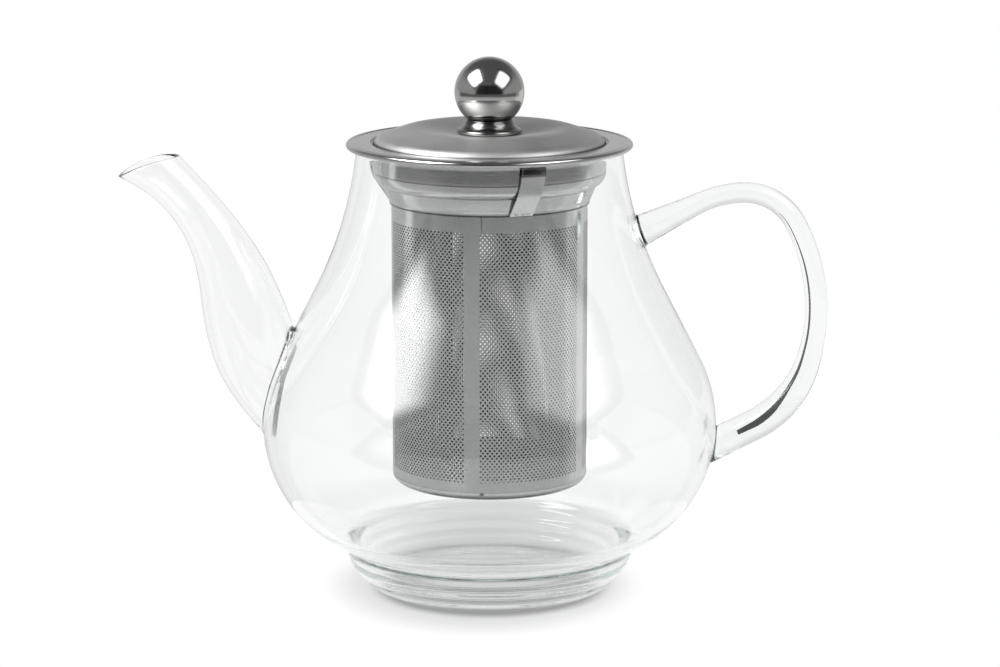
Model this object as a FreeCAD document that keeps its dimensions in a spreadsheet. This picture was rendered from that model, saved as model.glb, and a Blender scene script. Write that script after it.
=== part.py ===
# Glass teapot with a lift-out steel infuser and a lid with a ball knob.
# Millimetres, +Z up. The origin is the centre of the foot's flat underside, the spout points
# to -X and the handle to +X.
import FreeCAD, Part
import math
import os
from types import SimpleNamespace

import Sketcher
from FreeCAD import Placement, Rotation, Vector

# Driving dimensions: alias, value in millimetres or degrees, meaning
DIMENSIONS = [
    ("foot_flat_radius", 29.6, "flat disc that the pot stands on"),
    ("foot_round", 16.1, "rounding of the foot's side"),
    ("crease_height", 13.9, "where the belly meets the foot"),
    ("floor_thickness", 2.4, "glass under the tea"),
    ("foot_wall", 2.5, "glass in the foot's side"),
    ("glass_wall", 2.0, "blown wall of belly and neck"),
    ("belly_radius", 65.5, "widest point of the pot"),
    ("belly_height", 49.0, "height of the widest point"),
    ("belly_lower_round", 38.0, "outline radius below the widest point"),
    ("belly_upper_round", 40.2, "outline radius above the widest point"),
    ("shoulder_slope", 27.2, "lean of the straight shoulder from vertical"),
    ("shoulder_length", 23.8, "straight stretch of the shoulder"),
    ("neck_round", 115.0, "hollow outline radius of the neck"),
    ("rim_height", 130.5, "top of the glass rim"),
    ("rim_round", 0.6, "fire-polished corners of the rim"),
    ("spout_start_x", -37.9, "start of the spout's axis, inside the belly"),
    ("spout_start_z", 49.1, "height of that start"),
    ("spout_start_heading", 166.5, "direction of the axis there, from +X towards +Z"),
    ("spout_root_run", 8.0, "straight run inside the belly"),
    ("spout_lower_bend", 31.0, "radius of the upward bend"),
    ("spout_lower_turn", 61.2, "angle of the upward bend"),
    ("spout_middle_run", 15.5, "straight run between the bends"),
    ("spout_upper_bend", 69.9, "radius of the outward bend"),
    ("spout_upper_turn", 35.0, "angle of the outward bend"),
    ("spout_mouth_run", 14.5, "straight run to the mouth, past the slanting cut"),
    ("spout_wall", 1.7, "glass of the spout"),
    ("spout_width_1", 33.0, "outside diameter, first ring, at the start"),
    ("spout_width_2", 28.6, "second ring"),
    ("spout_width_3", 24.4, "third ring"),
    ("spout_width_4", 24.6, "fourth ring"),
    ("spout_width_5", 21.8, "fifth ring"),
    ("spout_width_6", 16.8, "sixth ring"),
    ("spout_width_7", 13.8, "seventh ring"),
    ("spout_width_8", 14.9, "eighth ring"),
    ("spout_width_9", 20.4, "last ring, in the flare of the mouth"),
    ("mouth_x", -97.6, "centre of the slanting mouth"),
    ("mouth_z", 124.0, "height of that centre"),
    ("mouth_slant", 18.1, "rise of the mouth's plane towards the pot"),
    ("handle_start_x", 38.6, "start of the handle's axis, inside the neck"),
    ("handle_start_z", 103.0, "height of that start"),
    ("handle_start_heading", 25.7, "direction of the axis there, from +X towards +Z"),
    ("handle_upper_run", 23.6, "straight run off the neck"),
    ("handle_crest_bend", 32.0, "radius of the crest"),
    ("handle_crest_turn", 22.8, "angle of the crest"),
    ("handle_corner_bend", 16.7, "radius of the upper corner"),
    ("handle_corner_turn", 64.7, "angle of the upper corner"),
    ("handle_grip_bend", 54.2, "radius of the grip"),
    ("handle_grip_turn", 44.9, "angle of the grip"),
    ("handle_lower_bend", 30.3, "radius of the lower corner"),
    ("handle_lower_turn", 46.6, "angle of the lower corner"),
    ("handle_lower_run", 16.1, "straight run into the belly"),
    ("handle_weld_width", 9.2, "rod diameter at the upper weld"),
    ("handle_crest_width", 5.9, "rod diameter at the crest"),
    ("handle_grip_width", 6.5, "rod diameter at the grip"),
    ("handle_foot_width", 9.0, "rod diameter above the lower weld"),
    ("steel_sheet", 0.6, "sheet of the collar and the lid"),
    ("rest_gap", 0.05, "gap between the flange and the glass it rests on"),
    ("flange_radius", 41.0, "outer edge of the flange"),
    ("flange_roll", 0.8, "rounding of the rolled edge"),
    ("flange_hem", 1.6, "width of the rolled edge"),
    ("collar_radius", 33.3, "outside of the collar's wall"),
    ("collar_mouth_round", 0.9, "rounding under the flange"),
    ("collar_wall_foot", 123.1, "height where the wall starts to turn in"),
    ("collar_shoulder_round", 4.3, "rounding of the collar's shoulder"),
    ("collar_shoulder_radius", 30.6, "where the shoulder meets the cone"),
    ("collar_shoulder_height", 119.1, "height of that line"),
    ("collar_skirt_top", 114.7, "top of the skirt round the tube"),
    ("collar_skirt_foot", 113.8, "lower edge of the collar"),
    ("tube_radius", 28.1, "outside of the perforated tube"),
    ("tube_sheet", 0.4, "sheet of the tube and its cap"),
    ("tube_foot", 34.7, "lower edge of the tube"),
    ("tube_top", 115.2, "upper edge of the tube, inside the collar"),
    ("seam_width", 4.0, "lap seam of the rolled tube"),
    ("seam_angle", -101.0, "where the seam is, round the axis from +X"),
    ("cap_foot", 32.2, "underside of the infuser"),
    ("cap_lip", 3.6, "lip of the cap inside the tube"),
    ("clip_width", 6.8, "width of a leaf spring"),
    ("clip_sheet", 0.45, "thickness of a leaf spring, across the radius"),
    ("clip_angle", -69.0, "where the front clip is, round the axis from +X"),
    ("clip_weld_radius", 28.8, "inner face of a clip at its weld"),
    ("clip_weld_height", 114.1, "lower edge of a clip"),
    ("clip_knee_radius", 33.35, "inner face where a clip passes the shoulder"),
    ("clip_knee_height", 120.7, "height of that knee"),
    ("clip_wall_radius", 34.1, "inner face where a clip starts up the wall"),
    ("clip_wall_height", 123.3, "height of that bend"),
    ("clip_bulge_radius", 34.6, "inner face at the widest point"),
    ("clip_bulge_height", 127.4, "height of the widest point"),
    ("clip_tip_radius", 34.3, "inner face at the tip"),
    ("clip_tip_height", 128.7, "height of the tip"),
    ("lid_radius", 32.3, "outside of the lid's skirt"),
    ("lid_lip_foot", 129.9, "height where the skirt turns out to the lip"),
    ("lid_lip_radius", 33.1, "lip that rests on the collar's mouth"),
    ("lid_lip_height", 130.75, "height of the lip"),
    ("lid_edge_round", 3.2, "rounding from the lip to the slope"),
    ("lid_slope_radius", 31.0, "where the slope starts, above the lip"),
    ("lid_slope_height", 132.95, "height of that line"),
    ("lid_crest_round", 11.0, "rounding of the crest"),
    ("lid_crest_outside", 25.2, "where the slope meets the crest"),
    ("lid_crest_outside_height", 134.85, "height of that line"),
    ("lid_crest_inside", 20.05, "where the crest meets the dish"),
    ("lid_crest_inside_height", 135.25, "height of that line"),
    ("lid_seat_radius", 9.5, "flat seat of the knob"),
    ("lid_seat_height", 133.6, "height of that seat"),
    ("lid_skirt_foot", 121.7, "lower edge of the lid's skirt"),
    ("screw_hole_radius", 2.1, "hole for the knob's screw"),
    ("ring_lip_radius", 9.3, "widest point of the flared ring"),
    ("ring_lip_round", 0.7, "rounding of the ring's lip"),
    ("ring_flare_round", 4.2, "hollow of the flare"),
    ("ring_top_radius", 6.4, "upper edge of the ring"),
    ("ring_top_height", 137.65, "height of that edge"),
    ("ring_dish_radius", 5.6, "seat of the ball inside the ring"),
    ("ring_dish_height", 137.0, "height of that seat"),
    ("ring_web_top", 135.0, "top of the ring's web, at the screw hole"),
    ("ball_radius", 10.0, "ball knob"),
    ("ball_height", 145.4, "centre of the ball"),
    ("thread_radius", 2.0, "shank of the screw"),
    ("thread_play", 0.05, "play of the shank in the ball"),
    ("thread_top", 142.6, "end of the shank"),
    ("ball_hole_top", 145.2, "end of the ball's hole"),
    ("head_radius", 3.8, "screw head"),
    ("head_height", 2.4, "height of the head"),
    ("head_round", 1.6, "rounding of the head"),
]
CLIPS = ("clip_front", "clip_rear", "clip_left")
SPOUT_RINGS = 9
HANDLE_RINGS = 19
# Shares of the handle's length at which its rod has the weld, crest, grip and foot widths
HANDLE_CREST_SHARE = 0.2
HANDLE_GRIP_SHARE = 0.62
HANDLE_FOOT_SHARE = 0.86
# Cutting block for the mouth, larger than the spout
BLOCK = 60.0

doc = FreeCAD.newDocument("Teapot")


class Size:
    """A size as its number and as the sheet expression that gives it."""

    def __init__(self, value, text):
        self.value = value
        self.text = text

    def _with(self, other, sign, value):
        return Size(value, f"({self.text} {sign} {other.text})")

    def __add__(self, other):
        other = as_size(other)
        return self._with(other, "+", self.value + other.value)

    def __sub__(self, other):
        other = as_size(other)
        return self._with(other, "-", self.value - other.value)

    def __mul__(self, other):
        other = as_size(other)
        return self._with(other, "*", self.value * other.value)

    def __truediv__(self, other):
        other = as_size(other)
        return self._with(other, "/", self.value / other.value)


def as_size(thing):
    return thing if isinstance(thing, Size) else Size(float(thing), str(float(thing)))


def cosine(angle):
    return Size(math.cos(math.radians(angle.value)), f"cos({angle.text} * 1 deg)")


def sine(angle):
    return Size(math.sin(math.radians(angle.value)), f"sin({angle.text} * 1 deg)")


def leg(long_side, short_side):
    """The other short side of a right triangle."""
    square = long_side * long_side - short_side * short_side
    return Size(math.sqrt(square.value), f"sqrt({square.text})")


def make_sheet():
    """The sheet of driving dimensions, and each of them as a Size."""
    sheet = doc.addObject("Spreadsheet::Sheet", "Dims")
    sizes = {}
    for row, (alias, value, meaning) in enumerate(DIMENSIONS, start=1):
        sheet.set(f"A{row}", meaning)
        sheet.set(f"B{row}", str(value))
        sheet.setAlias(f"B{row}", alias)
        sizes[alias] = Size(value, f"Dims.{alias}")
    doc.recompute()
    return SimpleNamespace(**sizes)


def origin_plane(body, role):
    return next(plane for plane in body.Origin.OriginFeatures if plane.Role == role)


def arc_between(start, end, radius, bend):
    """Arc from start to end that bends left or right. The sketch's arcs run anticlockwise."""
    if bend == "right":
        start, end = end, start
    middle = (start + end) * 0.5
    chord = end - start
    rise = math.sqrt(radius**2 - chord.Length**2 / 4)
    side = Vector(-chord.y, chord.x, 0).normalize()
    centre = middle + side * rise
    first = math.atan2(start.y - centre.y, start.x - centre.x)
    last = math.atan2(end.y - centre.y, end.x - centre.x)
    return Part.ArcOfCircle(Part.Circle(centre, Vector(0, 0, 1), radius), first, last)


def outline(body, name, corners):
    """Closed sketch in the XZ plane with every corner and radius bound to the sheet.

    A corner is (x, z) at the end of a line, or (x, z, radius, bend) at the end of an arc. The first
    corner is joined to the last by a line.
    """
    sketch = body.newObject("Sketcher::SketchObject", name)
    sketch.AttachmentSupport = (origin_plane(body, "XZ_Plane"), [""])
    sketch.MapMode = "FlatFace"
    bound = []
    ends = []
    for number, corner in enumerate(corners):
        before = corners[number - 1]
        start = Vector(as_size(before[0]).value, as_size(before[1]).value, 0)
        end = Vector(as_size(corner[0]).value, as_size(corner[1]).value, 0)
        if len(corner) == 2:
            edge = sketch.addGeometry(Part.LineSegment(start, end), False)
            ends.append((edge, 1, 2))
            continue
        radius, bend = corner[2:]
        edge = sketch.addGeometry(arc_between(start, end, radius.value, bend), False)
        ends.append((edge, 1, 2) if bend == "left" else (edge, 2, 1))
        bound.append((sketch.addConstraint(Sketcher.Constraint("Radius", edge, radius.value)), radius))
    for number, corner in enumerate(corners):
        edge, _, last = ends[number]
        following, first, _ = ends[(number + 1) % len(corners)]
        sketch.addConstraint(Sketcher.Constraint("Coincident", edge, last, following, first))
        for size, kind, axis in ((corner[0], "DistanceX", -2), (corner[1], "DistanceY", -1)):
            size = as_size(size)
            if size.value == 0:
                sketch.addConstraint(Sketcher.Constraint("PointOnObject", edge, last, axis))
                continue
            place = sketch.addConstraint(Sketcher.Constraint(kind, edge, last, size.value))
            bound.append((place, size))
    for number, size in bound:
        sketch.setExpression(f"Constraints[{number}]", size.text)
    return sketch


def turned(label, corners):
    """Body of revolution about Z."""
    body = doc.addObject("PartDesign::Body", label)
    sketch = outline(body, f"{label}_outline", corners)
    turn = body.newObject("PartDesign::Revolution", f"{label}_turn")
    turn.Profile = sketch
    turn.ReferenceAxis = (sketch, ["V_Axis"])
    turn.Angle = 360
    return body


class Route:
    """Path in the XZ plane of straight runs and tangent arcs."""

    def __init__(self, x, z, heading):
        self.pieces = []
        self.x, self.z, self.heading = x.value, z.value, math.radians(heading.value)
        self.length = 0.0

    def _add(self, length, curve):
        self.pieces.append((self.length, length, self.x, self.z, self.heading, curve))
        self.length += length
        self.x, self.z, self.heading = self.at(self.length)

    def run(self, length):
        self._add(length.value, 0.0)

    def bend(self, radius, turn):
        """An arc, to the left for a positive turn."""
        sweep = math.radians(turn)
        self._add(radius.value * abs(sweep), math.copysign(1 / radius.value, sweep))

    def at(self, distance):
        """x, z and heading at a distance along the route."""
        begun, _, x, z, heading, curve = [p for p in self.pieces if p[0] <= distance + 1e-9][-1]
        along = distance - begun
        if curve == 0:
            return x + along * math.cos(heading), z + along * math.sin(heading), heading
        last = heading + along * curve
        x += (math.sin(last) - math.sin(heading)) / curve
        z -= (math.cos(last) - math.cos(heading)) / curve
        return x, z, last


def tapered(label, route, radii):
    """Smooth solid through evenly spaced circles square to the route."""
    rings = []
    for number, radius in enumerate(radii):
        x, z, heading = route.at(route.length * number / (len(radii) - 1))
        ring = doc.addObject("Part::Circle", f"{label}_ring_{number}")
        ring.setExpression("Radius", radius.text)
        tilt = 90 - math.degrees(heading)
        ring.Placement = Placement(Vector(x, 0, z), Rotation(Vector(0, 1, 0), tilt))
        rings.append(ring)
    loft = doc.addObject("Part::Loft", label)
    loft.Sections = rings
    loft.Solid = True
    loft.Ruled = False
    return loft


def cut(label, base, tools):
    """Base with each tool taken out of it in turn."""
    for number, tool in enumerate(tools):
        last = number == len(tools) - 1
        result = doc.addObject("Part::Cut", label if last else f"{label}_step_{number}")
        result.Base = base
        result.Tool = tool
        base = result
    return base


dims = make_sheet()


def glass_outline():
    """Centres and tangent points that the glass's outer and inner outlines share."""
    lean_cos = cosine(dims.shoulder_slope)
    lean_sin = sine(dims.shoulder_slope)
    upper_x = dims.belly_radius - dims.belly_upper_round
    lower_x = dims.belly_radius - dims.belly_lower_round
    shoulder_x = upper_x + dims.belly_upper_round * lean_cos
    shoulder_z = dims.belly_height + dims.belly_upper_round * lean_sin
    neck_x = shoulder_x - dims.shoulder_length * lean_sin
    neck_z = shoulder_z + dims.shoulder_length * lean_cos
    neck_centre_x = neck_x + dims.neck_round * lean_cos
    neck_centre_z = neck_z + dims.neck_round * lean_sin
    return SimpleNamespace(**locals())


shape = glass_outline()


def glass_radius_at_rim(offset):
    """Radius of the neck at the rim, offset inwards."""
    rise = shape.neck_centre_z - dims.rim_height
    return shape.neck_centre_x - leg(dims.neck_round + offset, rise)


def make_glass_form():
    """The pot's outer form, filled."""
    crease = shape.lower_x + leg(dims.belly_lower_round, dims.belly_height - dims.crease_height)
    rim = glass_radius_at_rim(0)
    below_rim = dims.rim_height - dims.rim_round
    return turned("glass_form", [
        (0, 0),
        (dims.foot_flat_radius, 0),
        (crease, dims.crease_height, dims.foot_round, "left"),
        (dims.belly_radius, dims.belly_height, dims.belly_lower_round, "left"),
        (shape.shoulder_x, shape.shoulder_z, dims.belly_upper_round, "left"),
        (shape.neck_x, shape.neck_z),
        (rim, below_rim, dims.neck_round, "right"),
        (rim - dims.rim_round, dims.rim_height, dims.rim_round, "left"),
        (0, dims.rim_height),
    ])


def make_glass_hollow():
    """The space inside the pot, up past its rim."""
    wall = dims.glass_wall
    inner_round = dims.foot_round - dims.foot_wall
    lip = dims.crease_height + wall / 2
    lower_round = dims.belly_lower_round - wall
    lip_x = shape.lower_x + leg(lower_round, dims.belly_height - lip)
    floor_x = dims.foot_flat_radius - dims.foot_wall
    lean_in_x = wall * shape.lean_cos
    lean_in_z = wall * shape.lean_sin
    rim = glass_radius_at_rim(wall)
    below_rim = dims.rim_height - dims.rim_round
    above_rim = dims.rim_height + dims.rim_round
    return turned("glass_hollow", [
        (0, dims.floor_thickness),
        (floor_x, dims.floor_thickness),
        (lip_x, lip, inner_round, "left"),
        (dims.belly_radius - wall, dims.belly_height, lower_round, "left"),
        (shape.shoulder_x - lean_in_x, shape.shoulder_z - lean_in_z, dims.belly_upper_round - wall, "left"),
        (shape.neck_x - lean_in_x, shape.neck_z - lean_in_z),
        (rim, below_rim, dims.neck_round + wall, "right"),
        (rim + dims.rim_round, dims.rim_height, dims.rim_round, "right"),
        (rim + dims.rim_round, above_rim),
        (0, above_rim),
    ])


def make_glass():
    """Body, spout and handle, meeting face to face on the body's outer form."""
    form = make_glass_form()
    hollow = make_glass_hollow()

    spout = Route(dims.spout_start_x, dims.spout_start_z, dims.spout_start_heading)
    spout.run(dims.spout_root_run)
    spout.bend(dims.spout_lower_bend, -dims.spout_lower_turn.value)
    spout.run(dims.spout_middle_run)
    spout.bend(dims.spout_upper_bend, dims.spout_upper_turn.value)
    spout.run(dims.spout_mouth_run)
    widths = [getattr(dims, f"spout_width_{number + 1}") for number in range(SPOUT_RINGS)]
    spout_form = tapered("spout_form", spout, [width / 2 for width in widths])
    spout_bore = tapered("spout_bore", spout, [width / 2 - dims.spout_wall for width in widths])
    block = doc.addObject("Part::Box", "mouth_block")
    block.Length = block.Width = block.Height = BLOCK
    slant = Rotation(Vector(0, 1, 0), -dims.mouth_slant.value)
    centre = Vector(dims.mouth_x.value, 0, dims.mouth_z.value)
    block.Placement = Placement(centre - slant.multVec(Vector(BLOCK / 2, BLOCK / 2, 0)), slant)

    handle = Route(dims.handle_start_x, dims.handle_start_z, dims.handle_start_heading)
    handle.run(dims.handle_upper_run)
    handle.bend(dims.handle_crest_bend, -dims.handle_crest_turn.value)
    handle.bend(dims.handle_corner_bend, -dims.handle_corner_turn.value)
    handle.bend(dims.handle_grip_bend, -dims.handle_grip_turn.value)
    handle.bend(dims.handle_lower_bend, -dims.handle_lower_turn.value)
    handle.run(dims.handle_lower_run)
    rod_widths = [handle_width(number / (HANDLE_RINGS - 1)) for number in range(HANDLE_RINGS)]
    rod = tapered("handle_form", handle, [width / 2 for width in rod_widths])

    return [
        cut("glass_body", form, [hollow, spout_bore]),
        cut("glass_spout", spout_form, [spout_bore, block, form]),
        cut("glass_handle", rod, [form]),
    ]


def handle_width(share):
    """Rod diameter at a share of the handle's length."""
    stages = [
        (0.0, dims.handle_weld_width),
        (HANDLE_CREST_SHARE, dims.handle_crest_width),
        (HANDLE_GRIP_SHARE, dims.handle_grip_width),
        (HANDLE_FOOT_SHARE, dims.handle_foot_width),
        (1.0, dims.handle_foot_width),
    ]
    for (begin, narrow), (end, wide) in zip(stages, stages[1:]):
        if share <= end:
            return narrow + (wide - narrow) * ((share - begin) / (end - begin))


def make_collar():
    """Pressed cup: rolled flange, wall, rounded shoulder, cone and skirt, all of one sheet."""
    sheet = dims.steel_sheet
    under = dims.rim_height + dims.rest_gap
    top = under + sheet
    inside = dims.collar_radius - sheet
    mouth_x = dims.collar_radius + dims.collar_mouth_round
    mouth_z = under - dims.collar_mouth_round
    roll = dims.flange_roll
    edge_x = dims.flange_radius - roll
    hem_foot = top - roll * 2
    skirt = dims.tube_radius + sheet
    return turned("infuser_collar", [
        (dims.tube_radius, dims.collar_skirt_foot),
        (skirt, dims.collar_skirt_foot),
        (skirt, dims.collar_skirt_top),
        (dims.collar_shoulder_radius, dims.collar_shoulder_height),
        (dims.collar_radius, dims.collar_wall_foot, dims.collar_shoulder_round, "left"),
        (dims.collar_radius, mouth_z),
        (mouth_x, under, dims.collar_mouth_round, "right"),
        (dims.flange_radius - dims.flange_hem, under),
        (dims.flange_radius - dims.flange_hem, hem_foot),
        (edge_x, hem_foot),
        (dims.flange_radius, hem_foot + roll, roll, "left"),
        (edge_x, top, roll, "left"),
        (mouth_x, top),
        (inside, mouth_z, dims.collar_mouth_round + sheet, "left"),
        (inside, dims.collar_wall_foot),
        (
            dims.collar_shoulder_radius - sheet / 2,
            dims.collar_shoulder_height + sheet,
            dims.collar_shoulder_round - sheet,
            "right",
        ),
        (dims.tube_radius, dims.collar_skirt_top + sheet / 2),
    ])


def make_tube():
    """Sleeve rolled from sheet, with the lap of its seam on the inside."""
    inside = dims.tube_radius - dims.tube_sheet
    sleeve = turned("tube_sleeve", [
        (inside, dims.tube_foot),
        (dims.tube_radius, dims.tube_foot),
        (dims.tube_radius, dims.tube_top),
        (inside, dims.tube_top),
    ])
    lap = doc.addObject("Part::Box", "tube_lap")
    lap.setExpression("Length", (dims.tube_sheet * 1.5).text)
    lap.setExpression("Width", dims.seam_width.text)
    foot = dims.tube_foot + dims.cap_lip + dims.tube_sheet
    lap.setExpression("Height", (dims.tube_top - foot).text)
    turn = Rotation(Vector(0, 0, 1), dims.seam_angle.value)
    corner = Vector(inside.value - dims.tube_sheet.value, -dims.seam_width.value / 2, foot.value)
    lap.Placement = Placement(turn.multVec(corner), turn)
    tube = doc.addObject("Part::Fuse", "infuser_tube")
    tube.Base = sleeve
    tube.Tool = lap
    return tube


def make_cap():
    """Pressed cap with a rounded edge and a lip that fits inside the tube."""
    sheet = dims.tube_sheet
    edge = dims.tube_foot - dims.cap_foot
    inside = dims.tube_radius - sheet
    return turned("infuser_base", [
        (0, dims.cap_foot),
        (dims.tube_radius - edge, dims.cap_foot),
        (dims.tube_radius, dims.tube_foot, edge, "left"),
        (inside, dims.tube_foot),
        (inside, dims.tube_foot + dims.cap_lip),
        (inside - sheet, dims.tube_foot + dims.cap_lip),
        (inside - sheet, dims.tube_foot),
        (dims.tube_radius - edge - sheet, dims.cap_foot + sheet, edge - sheet, "right"),
        (0, dims.cap_foot + sheet),
    ])


def make_clip(label, turn):
    """Leaf spring: welded low on the cone, out past the shoulder, up the wall and in at its tip."""
    face = [
        (dims.clip_weld_radius, dims.clip_weld_height),
        (dims.clip_knee_radius, dims.clip_knee_height),
        (dims.clip_wall_radius, dims.clip_wall_height),
        (dims.clip_bulge_radius, dims.clip_bulge_height),
        (dims.clip_tip_radius, dims.clip_tip_height),
    ]
    back = [(x + dims.clip_sheet, z) for x, z in face]
    body = doc.addObject("PartDesign::Body", label)
    sketch = outline(body, f"{label}_outline", back + face[::-1])
    strip = body.newObject("PartDesign::Pad", f"{label}_strip")
    strip.Profile = sketch
    strip.setExpression("Length", dims.clip_width.text)
    strip.Midplane = True
    body.setExpression("Placement.Rotation.Angle", f"{dims.clip_angle.text} + {turn}")
    return body


def make_lid():
    """Pressed lid with a shallow dish for the knob, a crest, a slope, a lip and a deep skirt."""
    sheet = dims.steel_sheet
    skirt_inside = dims.lid_radius - sheet
    return turned("lid_dome", [
        (dims.screw_hole_radius, dims.lid_seat_height - sheet),
        (dims.lid_seat_radius, dims.lid_seat_height - sheet),
        (dims.lid_crest_inside, dims.lid_crest_inside_height - sheet),
        (
            dims.lid_crest_outside,
            dims.lid_crest_outside_height - sheet,
            dims.lid_crest_round - sheet,
            "right",
        ),
        (dims.lid_slope_radius - sheet / 2, dims.lid_slope_height - sheet),
        (skirt_inside, dims.lid_lip_height, dims.lid_edge_round - sheet, "right"),
        (skirt_inside, dims.lid_skirt_foot),
        (dims.lid_radius, dims.lid_skirt_foot),
        (dims.lid_radius, dims.lid_lip_foot),
        (dims.lid_lip_radius, dims.lid_lip_height),
        (dims.lid_slope_radius, dims.lid_slope_height, dims.lid_edge_round, "left"),
        (dims.lid_crest_outside, dims.lid_crest_outside_height),
        (dims.lid_crest_inside, dims.lid_crest_inside_height, dims.lid_crest_round, "left"),
        (dims.lid_seat_radius, dims.lid_seat_height),
        (dims.screw_hole_radius, dims.lid_seat_height),
    ])


def make_knob_base():
    """Flared ring with a dish for the ball."""
    lip = dims.ring_lip_round
    lip_x = dims.ring_lip_radius - lip
    return turned("knob_base", [
        (dims.screw_hole_radius, dims.lid_seat_height),
        (lip_x, dims.lid_seat_height),
        (dims.ring_lip_radius, dims.lid_seat_height + lip, lip, "left"),
        (lip_x, dims.lid_seat_height + lip * 2, lip, "left"),
        (dims.ring_top_radius, dims.ring_top_height, dims.ring_flare_round, "right"),
        (dims.ring_dish_radius, dims.ring_dish_height),
        (dims.screw_hole_radius, dims.ring_web_top),
    ])


def make_knob_ball():
    """Ball, drilled from below for the screw."""
    hole = dims.thread_radius + dims.thread_play
    return turned("knob_ball", [
        (hole, dims.ball_height - leg(dims.ball_radius, hole)),
        (dims.ball_radius, dims.ball_height, dims.ball_radius, "left"),
        (0, dims.ball_height + dims.ball_radius, dims.ball_radius, "left"),
        (0, dims.ball_hole_top),
        (hole, dims.ball_hole_top - hole),
    ])


def make_knob_screw():
    """Pan-head screw from inside the lid."""
    seat = dims.lid_seat_height - dims.steel_sheet
    head_foot = seat - dims.head_height
    return turned("knob_screw", [
        (0, head_foot),
        (dims.head_radius - dims.head_round, head_foot),
        (dims.head_radius, head_foot + dims.head_round, dims.head_round, "left"),
        (dims.head_radius, seat),
        (dims.thread_radius, seat),
        (dims.thread_radius, dims.thread_top),
        (0, dims.thread_top),
    ])


def write(pieces):
    """Writes each piece to its file, once every object is sound."""
    doc.recompute()
    for thing in doc.Objects:
        if "Invalid" in thing.State or "Error" in thing.State:
            raise RuntimeError(f"{thing.Label} failed: {thing.State}")
    for piece in pieces:
        if piece.Shape.isNull() or not piece.Shape.isValid() or len(piece.Shape.Solids) != 1:
            raise RuntimeError(f"{piece.Label} is not one sound solid")
    os.makedirs("parts", exist_ok=True)
    for piece in pieces:
        piece.Shape.exportStep(f"parts/{piece.Label}.step")
        print(piece.Label, round(piece.Shape.Volume, 1), "mm3")


write([
    *make_glass(),
    make_collar(),
    make_tube(),
    make_cap(),
    *[make_clip(label, 360 / len(CLIPS) * number) for number, label in enumerate(CLIPS)],
    make_lid(),
    make_knob_base(),
    make_knob_ball(),
    make_knob_screw(),
])
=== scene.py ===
import math

import bmesh
import bpy
import numpy as np
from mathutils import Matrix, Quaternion, Vector


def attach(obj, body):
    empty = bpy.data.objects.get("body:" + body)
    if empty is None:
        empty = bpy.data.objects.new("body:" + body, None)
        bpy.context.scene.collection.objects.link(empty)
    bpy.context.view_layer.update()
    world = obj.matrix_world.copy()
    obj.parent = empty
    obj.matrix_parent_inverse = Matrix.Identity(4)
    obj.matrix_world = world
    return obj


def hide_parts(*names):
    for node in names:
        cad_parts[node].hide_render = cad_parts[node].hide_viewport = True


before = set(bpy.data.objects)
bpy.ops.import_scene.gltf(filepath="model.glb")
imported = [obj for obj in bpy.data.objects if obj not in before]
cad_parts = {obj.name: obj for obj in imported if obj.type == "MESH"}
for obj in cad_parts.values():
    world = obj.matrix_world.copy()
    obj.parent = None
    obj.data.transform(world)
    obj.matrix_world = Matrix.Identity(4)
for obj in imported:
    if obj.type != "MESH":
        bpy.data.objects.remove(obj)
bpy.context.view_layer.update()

MM = 0.001
SMOOTH_ANGLE = math.radians(32)
# A radius under this is on the axis
ON_AXIS = 1e-6


# Outlines

def arc_points(start, end, radius, bend, step):
    """Points after start on the arc to end that bends left or right."""
    start, end = np.array(start, float), np.array(end, float)
    chord = end - start
    left = np.array([-chord[1], chord[0]]) / np.linalg.norm(chord)
    side = 1.0 if bend == "left" else -1.0
    rise = math.sqrt(max(radius**2 - chord @ chord / 4, 0))
    centre = (start + end) / 2 + left * side * rise
    first = math.atan2(*(start - centre)[::-1])
    last = math.atan2(*(end - centre)[::-1])
    sweep = (last - first) * side % math.tau * side
    count = max(2, math.ceil(abs(sweep) * radius / step))
    turns = first + sweep * np.arange(1, count + 1) / count
    return centre + radius * np.stack([np.cos(turns), np.sin(turns)], 1)


def trace(corners, step):
    """Open polyline through corners: (r, z) ends a line, (r, z, radius, bend) ends an arc."""
    points = [np.array(corners[0][:2], float)[None]]
    for before, corner in zip(corners, corners[1:]):
        if len(corner) == 4:
            points.append(arc_points(before[:2], corner[:2], corner[2], corner[3], step))
        else:
            start, end = np.array(before[:2], float), np.array(corner, float)
            count = max(1, math.ceil(np.linalg.norm(end - start) / step / 4))
            shares = np.arange(1, count + 1)[:, None] / count
            points.append(start + (end - start) * shares)
    return np.concatenate(points)


def soften(points, centre, reach, passes):
    """Rounds a polyline's corner near a point by averaging neighbours."""
    points = points.copy()
    near = np.linalg.norm(points - np.array(centre), axis=1) < reach
    near[[0, -1]] = False
    for _ in range(passes):
        mean = (np.roll(points, 1, 0) + np.roll(points, -1, 0)) / 2
        points[near] = (points[near] + mean[near]) / 2
    return points


def lengths_along(points):
    """Length of a polyline up to each of its points."""
    return np.concatenate([[0], np.cumsum(np.linalg.norm(np.diff(points, axis=0), axis=1))])


def respace(points, spacing):
    """The same polyline with even spacing."""
    lengths = lengths_along(points)
    marks = np.linspace(0, lengths[-1], max(2, round(lengths[-1] / spacing)) + 1)
    return np.stack([np.interp(marks, lengths, points[:, axis]) for axis in (0, 1)], 1)


# Meshes

def make_mesh(name, verts, faces):
    mesh = bpy.data.meshes.new(name)
    mesh.from_pydata((np.asarray(verts) * MM).tolist(), [], faces)
    mesh.update()
    return mesh


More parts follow.
